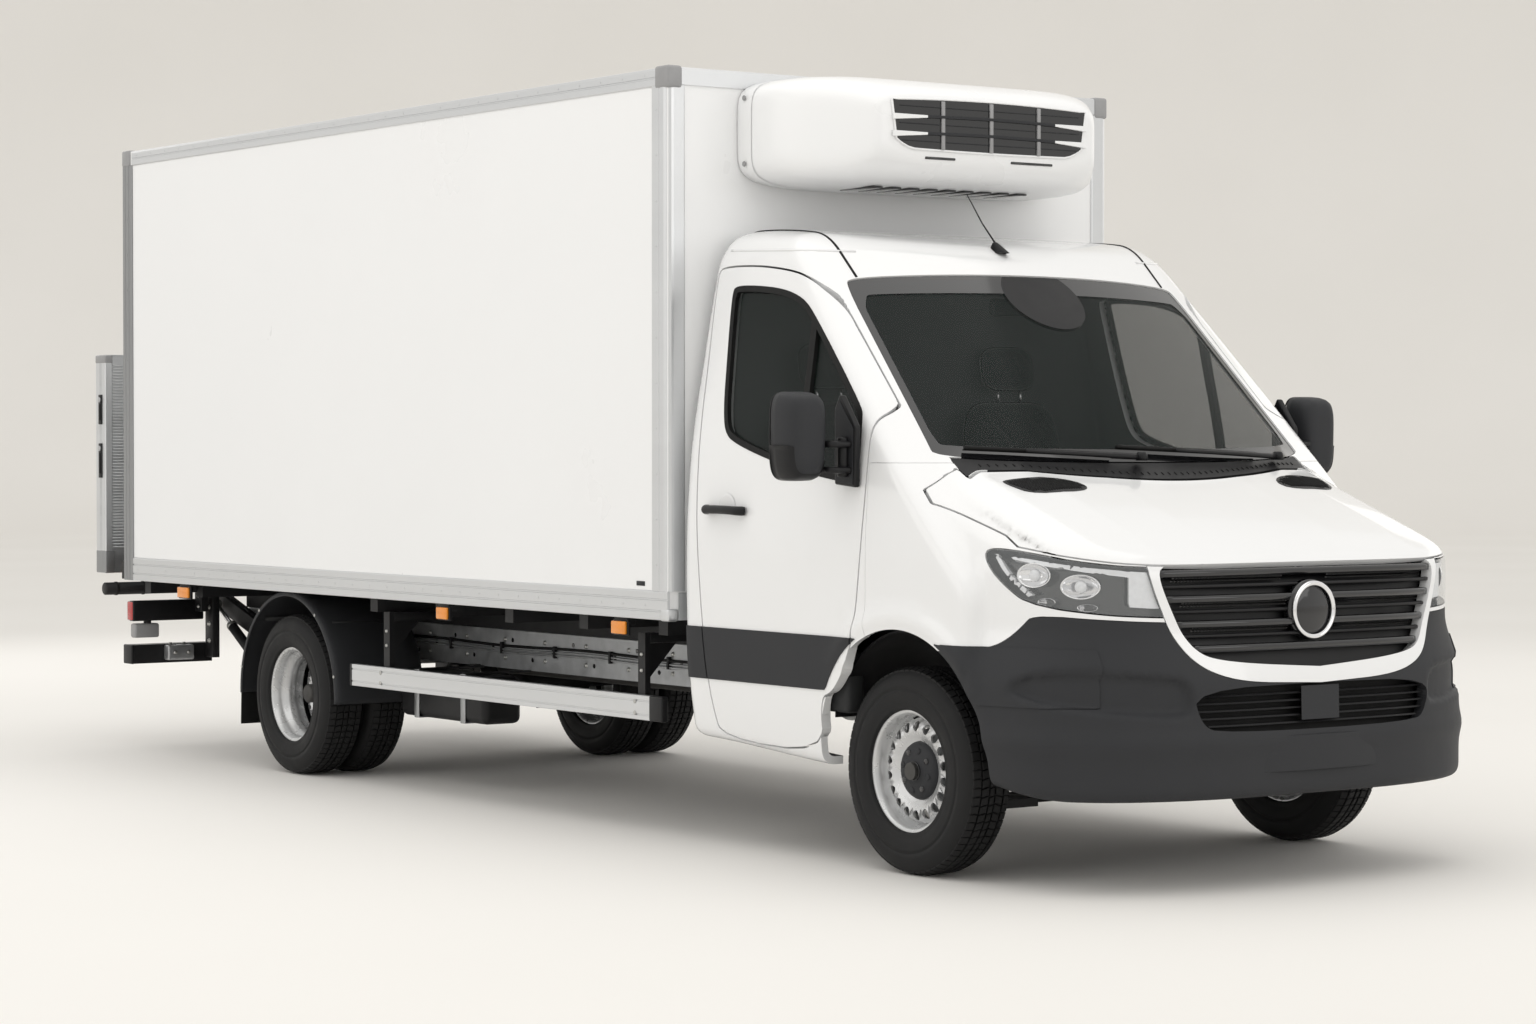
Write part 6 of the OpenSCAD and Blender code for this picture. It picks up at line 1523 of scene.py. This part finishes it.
# springs, axle, shaft
b = B()
for s in (1, -1):
    for i, (h_, zc_) in enumerate(((.700, 0), (.610, -.0), (.470, 0), (.330, 0))):
        P = []; m = 25; off = -.0125 * i
        for k in range(m):
            y = -h_ + 2 * h_ * k / (m - 1); zz = .4385 + .0265 * (y / .70) ** 2 + off + .006
            P.append((4.325 + y, zz))
        plate(b, P + [(y, z - .0108) for y, z in P][::-1], "yz", s * .472, s * .543, "chassis", .001)
    bxr(b, (s * .468, 4.262, .3895), (s * .547, 4.388, .4025), "cast", .004); bxr(b, (s * .468, 4.262, .4510), (s * .547, 4.388, .4640), "cast", .004)
    for dy in (-.045, .045):
        for x in (.463, .552): b.add(*tube([(s * x, 4.325 + dy, .385), (s * x, 4.325 + dy, .475)], .0065, 10), "bolt"); b.add(*hexbolt((s * x, 4.325 + dy, .4745), "z", .010, .009, 1), "bolt")
    for y in (3.620, 5.030):
        plate(b, [(y - .015, .441), (y + .015, .441), (y + .022, .498), (y - .022, .498)], "yz", s * .438, s * .470, "cast", .003); plate(b, [(y - .015, .441), (y + .015, .441), (y + .022, .498), (y - .022, .498)], "yz", s * .545, s * .559, "cast", .003)
        b.add(*lathe([(.0001, .432), (.012, .432), (.012, .566), (.0001, .566)], (0, y, .466), "x", 20, s), "bolt")
    # damper
    b.add(*tube([(s * .445, 4.39, .355), (s * .445, 4.63, .520)], .021, 16), "black"); b.add(*tube([(s * .445, 4.55, .465), (s * .445, 4.74, .600)], .026, 16), "chassis")
b.obj("rear_leaf_springs", "chassis", ("leaf_springs",), "chassis_black")
b = B()
b.add(*lathe([(.0001, -.850), (.0285, -.850), (.029, -.845), (.029, -.562), (.044, -.560), (.048, -.552), (.048, -.240), (.054, -.222), (.070, -.188), (.104, -.150), (.138, -.112), (.156, -.078), (.1645, -.042), (.1645, .042), (.156, .078), (.138, .112),
              (.104, .150), (.070, .188), (.054, .222), (.048, .240), (.048, .552), (.044, .560), (.029, .562), (.029, .845), (.0285, .850), (.0001, .850)], (0, 4.325, .348), "x", 72), "chassis")
b.add(*lathe([(.138, .104), (.128, .150), (.095, .163), (.045, .168), (.0001, .169)], (0, 4.325, .348), "y", 56, 1), "cast")
for k in range(10):
    a_ = 2 * math.pi * k / 10; b.add(*hexbolt((.118 * math.cos(a_), 4.325 + .1495, .348 + .118 * math.sin(a_)), "y", .008, .007, 1), "bolt")
b.add(*lathe([(.060, -.170), (.072, -.150), (.10, -.12)], (0, 4.325, .360), "y", 40, 1), "cast")
b.obj("rear_axle_casing", "chassis", ("rear_axle",), "chassis_black")
b = B()
b.add(*lathe([(.0001, .563), (.036, .563), (.037, .600), (.0375, .66), (.034, .68), (.034, 2.30), (.0375, 2.32), (.0375, 2.36), (.034, 2.38), (.034, 4.02), (.0375, 4.05), (.0375, 4.13), (.028, 4.154), (.0001, 4.154)], (0, 0, .450), "y", 40, 1), "cast")
for y in (.66, 2.34, 4.05):
    for k in range(4):
        a_ = math.pi / 2 * k + .4; b.add(*hexbolt((.030 * math.cos(a_), y, .45 + .030 * math.sin(a_)), "y", .006, .010, 1), "bolt")
b.obj("propeller_shaft_tube", "chassis", ("propeller_shaft",), "cast")
b = B()
bxr(b, (-.749, 3.0515, .2865), (-.566, 3.7485, .4835), "black", .030, 4)
for y in (3.20, 3.58):
    bxr(b, (-.7525, y, .284), (-.564, y + .038, .2875), "galv", .001); bxr(b, (-.7528, y, .284), (-.7493, y + .038, .488), "galv", .001)
    bxr(b, (-.745, y + .002, .484), (-.43, y + .036, .4925), "chassis", .002)
b.add(*lathe([(.0001, .012), (.038, .012), (.042, .006), (.042, 0)], (-.7495, 3.12, .43), "x", 32, -1), "plastic")
b.obj("fuel_tank_shell", "chassis", ("fuel_tank",), "plastic_black")
b = B()
b.add(*lathe([(.0001, 1.700), (.060, 1.702), (.084, 1.712), (.0895, 1.730), (.0895, 2.370), (.084, 2.388), (.060, 2.398), (.0001, 2.400)], (.620, 0, .380), "y", 48, 1), "galv")
for y in (1.735, 2.050, 2.365): b.add(*lathe([(.0893, -.008), (.0915, -.006), (.0915, .006), (.0893, .008)], (.620, y, .380), "y", 48, 1), "galv")
b.add(*lathe([(.0295, .600), (.030, .604), (.030, 1.700)], (.500, 0, .380), "y", 28, 1), "cast"); b.add(*tube(smooth_path([(.500, 1.66, .38), (.53, 1.70, .38), (.58, 1.715, .38)], 6), .029, 20), "cast")
b.add(*tube(smooth_path([(.655, 2.39, .38), (.665, 2.50, .38), (.72, 2.60, .372), (.80, 2.62, .365)], 8), .026, 20), "galv")
b.obj("exhaust_silencer", "chassis", ("exhaust",), "galvanised")
b = B()
bxr(b, (-.2085, -.638, .560), (.2085, -.022, .860), "cast", .020, 3)
plate(b, [(-.6, .4215), (-.05, .4215), (-.03, .47), (-.03, .565), (-.63, .565), (-.63, .47)], "yz", -.165, .165, "alu_worn", .012)
bxr(b, (-.150, -.630, .855), (.150, -.04, .975), "black", .030, 4)
for i in range(7): bxr(b, (-.2098, -.60 + i * .085, .585), (.2098, -.585 + i * .085, .840), "cast", .003)
V, F = lathe([(.0001, -.018), (.120, -.018), (.150, .05), (.150, .14), (.105, .30), (.095, .53), (.070, .558), (.0001, .558)], (0, 0, .487), "y", 48, 1); V = np.array(V); V[:, 0] = np.clip(V[:, 0], -.139, .139); V[:, 2] = np.clip(V[:, 2], .381, .599); b.add(V, F, "alu_worn")
for y in (.10, .22, .34, .46): b.add(*lathe([(.098, -.006), (.106, -.004), (.106, .004), (.098, .006)], (0, y, .487), "y", 40, 1), "alu_worn")
b.obj("engine_and_gearbox", "chassis", ("engine_block",), "cast")
# closing tray under the bumper
b = B()
plate(b, [(-.78, .336), (-.55, .345), (-.40, .315), (-.40, .320), (-.55, .350), (-.78, .341)], "yz", -.50, .50, "black", .001)
b.obj("under_trays", "chassis", (), "plastic_black")
# front brakes
for s, nm in ((1, "left"), (-1, "right")):
    b = B()
    b.add(*lathe([(.062, .803), (.140, .803), (.1415, .805), (.1415, .812), (.1395, .8135), (.1395, .8165), (.1415, .818), (.1415, .825), (.140, .827), (.070, .827), (.066, .850), (.062, .850), (.062, .803)], (0, 0, TR), "x", 72, s), "galv")
    b.obj("front_brake_disc_" + nm, nm + "_front_wheel", (), "cast")
    b = B()
    Q = []
    for r in (.098, .1560):
        A_ = np.linspace(math.radians(-32), math.radians(32), 13); A_ = A_ if r < .12 else A_[::-1]
        Q += [(r * math.cos(a), TR + r * math.sin(a)) for a in A_]
    plate(b, Q, "yz", s * .788, s * .8025, "cast", .003); plate(b, Q, "yz", s * .8280, s * .8420, "cast", .003)
    plate(b, [(r * math.cos(a), TR + r * math.sin(a)) for r, A_ in ((.1435, np.linspace(-.5, .5, 9)), (.1560, np.linspace(.5, -.5, 9))) for a in A_], "yz", s * .802, s * .829, "cast", .001)
    b.obj("front_brake_caliper_" + nm, nm + "_knuckle", (), "cast")
# lift cylinders
CP = (5.450, .400); Lc = math.hypot(5.430 + .5 * ca - CP[0], .520 + .5 * sa - CP[1]); an = math.atan2(.520 + .5 * sa - CP[1], 5.430 + .5 * ca - CP[0])
b = B(); r_ = B()
for s in (1, -1):
    for q, prof_, k in ((b, [(.0001, .016), (.0225, .018), (.0238, .024), (.0238, .340), (.0225, .349), (.0135, .3500), (.0125, .3490)], "chassis"), (b, [(.0238, .325), (.0252, .327), (.0252, .343), (.0238, .345)], "bolt"),
                        (r_, [(.0118, .205), (.0118, Lc - .020), (.0001, Lc - .020)], "chrome")):
        V, F = lathe(prof_, (s * .532, CP[0], CP[1]), "y", 32, 1); V = rot(V, math.degrees(an), "X", (s * .532, CP[0], CP[1])); q.add(V, F, k)
    b.add(*lathe([(.0122, -.0195), (.0250, -.0195), (.0258, -.017), (.0258, .017), (.0250, .0195), (.0122, .0195)], (s * .532, CP[0], CP[1]), "x", 32, 1), "chassis")
    e = (s * .532, CP[0] + Lc * math.cos(an), CP[1] + Lc * math.sin(an)); r_.add(*lathe([(.0001, -.0195), (.0208, -.0195), (.0218, -.017), (.0218, .017), (.0208, .0195), (.0001, .0195)], e, "x", 32, 1), "bolt")
b.obj("lift_cylinder_barrels", "barrels", ("lift_barrels",), "chassis_black"); r_.obj("lift_cylinder_rods", "rods", ("lift_rods",), "galvanised")
# lift frame dressing
b = B()
bxr(b, (-.981, 5.8315, .8015), (.981, 5.949, .8845), "chassis", .005, 2)
for i in range(40): bxr(b, (-.955 + i * .0485, 5.845, .8838), (-.955 + i * .0485 + .030, 5.935, .8872), "alu_dark", .0012, 1)
for s in (1, -1):
    bxr(b, (s * .955, 5.832, .8005), (s * .9835, 5.9555, .8865), "black", .006, 3)
    for x in (.30, .70): b.add(*hexbolt((s * x, 5.9490, .842), "y", .010, .008, 1), "bolt")
    bxr(b, (s * .80, 5.9485, .812), (s * .90, 5.9700, .876), "rubber", .006, 3)
b.obj("lift_sill_cover", "chassis", (), "chassis_black")
# ---------------------------------------------------------------- CAD nodes that keep their shape
KEEP = {
 "chassis_rails": "galv", "chassis_crossmembers": "chassis", "body_subframe": "chassis", "front_subframe": "chassis", "engine_block": "cast",
 "propeller_shaft": "cast", "rear_axle": "chassis", "leaf_springs": "chassis", "fuel_tank": "black", "exhaust": "galv", "cab_floor": "interior",
 "wheel_liners": "black", "knuckle_left": "cast", "knuckle_right": "cast", "tie_rods": "cast", "cargo_floor": "floor_grip", "cargo_roof": "panel",
 "cargo_sides": "panel", "cargo_front_wall": "panel", "cargo_rear_frame": "alu", "cargo_trim": "alu", "shutter_bar": "alu", "shutter_curtain": "panel",
 "refrigeration_unit": "panel", "evaporator": "panel", "side_guards": "alu", "mudguards": "black", "tail_lamps": "red", "underrun_bar": "chassis",
 "lift_frame": "chassis", "lift_arms": "chassis", "lift_barrels": "chassis", "lift_rods": "chrome", "lift_head": "galv", "lift_platform": "alu_worn",
 "dashboard": "interior", "seats": "fabric", "steering_wheel": "interior", "mirror_left": "black", "mirror_right": "black",
 "front_tyre_left": "tyre", "front_tyre_right": "tyre", "rear_tyres_left": "tyre", "rear_tyres_right": "tyre",
 "front_wheel_left": "wheel", "front_wheel_right": "wheel", "rear_wheels_left": "wheel", "rear_wheels_right": "wheel",
 "cab_body": "paint", "fenders": "paint", "hood": "paint", "cowl": "black", "windscreen": "glass", "grille": "gloss", "headlights": "lens", "front_bumper": "plastic",
 "door_left": "paint", "door_right": "paint", "door_glass_left": "glass", "door_glass_right": "glass"}
for n_, o_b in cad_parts.items():
    k_ = M[KEEP.get(n_, "chassis")]
    if o_b.material_slots:
        for sl in o_b.material_slots: sl.material = k_
    else: o_b.data.materials.append(k_)

# ---------------------------------------------------------------- floor, light and camera
def stage_mat():
    m, nt, b = _nt("studio_floor")
    b.inputs["Roughness"].default_value = 0.75
    b.inputs["Specular IOR Level"].default_value = 0.25
    n = noise(nt, 0.35, 2, 0.4)
    r = ramp(nt, n.outputs["Fac"], [(0.3, (0.845, 0.828, 0.798)), (0.7, (0.865, 0.848, 0.82))])
    nt.links.new(r.outputs["Color"], b.inputs["Base Color"])
    return m
cam_row = Vector((-7.9765, -11.630, 1.4474))
yaw = math.radians(35.6856)
fwd = Vector((math.sin(yaw), math.cos(yaw), 0)); sid = Vector((math.cos(yaw), -math.sin(yaw), 0))
def stage():
    P = []
    for d, z in [(-45, 0.0), (46, 0.0)] + [(46 + 9 * math.sin(a), 9 - 9 * math.cos(a)) for a in np.linspace(0.1, math.pi / 2, 14)] + [(55, 34)]:
        P.append((d, z))
    V = []; F = []
    for d, z in P:
        for s_ in (-70, 70): V.append(Vector((cam_row.x, cam_row.y, 0)) + fwd * (d + 6) + sid * s_ + Vector((0, 0, z)))
    for i in range(len(P) - 1): F.append((2 * i, 2 * i + 1, 2 * i + 3, 2 * i + 2))
    me = bpy.data.meshes.new("studio_sweep"); me.from_pydata([tuple(v) for v in V], [], F); me.materials.append(stage_mat())
    for p in me.polygons: p.use_smooth = True
    o = bpy.data.objects.new("studio_sweep", me); bpy.context.scene.collection.objects.link(o); o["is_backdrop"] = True
stage()
w = bpy.data.worlds.new("studio"); bpy.context.scene.world = w; w.use_nodes = True
bg = w.node_tree.nodes["Background"]; bg.inputs["Color"].default_value = (1.0, 0.985, 0.955, 1); bg.inputs["Strength"].default_value = 0.89
def area(name, loc, target, size, power, col=(1, 1, 1)):
    l = bpy.data.lights.new(name, "AREA"); l.shape = "RECTANGLE"; l.size = size[0]; l.size_y = size[1]; l.energy = power; l.color = col
    o = bpy.data.objects.new(name, l); o.location = loc
    o.rotation_euler = (Vector(target) - Vector(loc)).to_track_quat("-Z", "Y").to_euler()
    bpy.context.scene.collection.objects.link(o); return o
area("key_top", (-1.5, -1.5, 7.5), (0, 0, 0.5), (9, 10), 175, (1, 0.99, 0.97))
area("front_left", (2.5, -12.0, 4.2), (0, -2.5, 1.0), (7, 4), 95, (1, 0.99, 0.98))
area("side_right", (-11.5, 2.0, 5.0), (-1, 0.5, 1.2), (10, 5), 95, (1, 0.985, 0.965))
area("side_left", (10.5, 0.0, 4.5), (1, 0.0, 1.2), (8, 4), 60, (1, 1, 1))
area("rear", (0.5, 11.0, 4.5), (0, 3.0, 1.2), (7, 4), 90, (1, 1, 1))
cd = bpy.data.cameras.new("camera"); cd.lens = 80.37; cd.sensor_width = 36.0; cd.sensor_fit = "HORIZONTAL"; cd.clip_end = 200
cam = bpy.data.objects.new("camera", cd); cam.location = cam_row
cam.rotation_euler = (math.radians(90 - 1.1746), 0, -yaw)
bpy.context.scene.collection.objects.link(cam); bpy.context.scene.camera = cam
bpy.context.scene.view_settings.view_transform = "Standard"
bpy.context.scene.view_settings.look = "None"
def plain(b_):
    r_ = []
    for p_ in b_:
        try: r_.append([float(q_) for q_ in p_])
        except TypeError: r_.append(float(p_))
    return r_
{"cad": plain(CAD_BOX), "now": plain(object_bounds())}
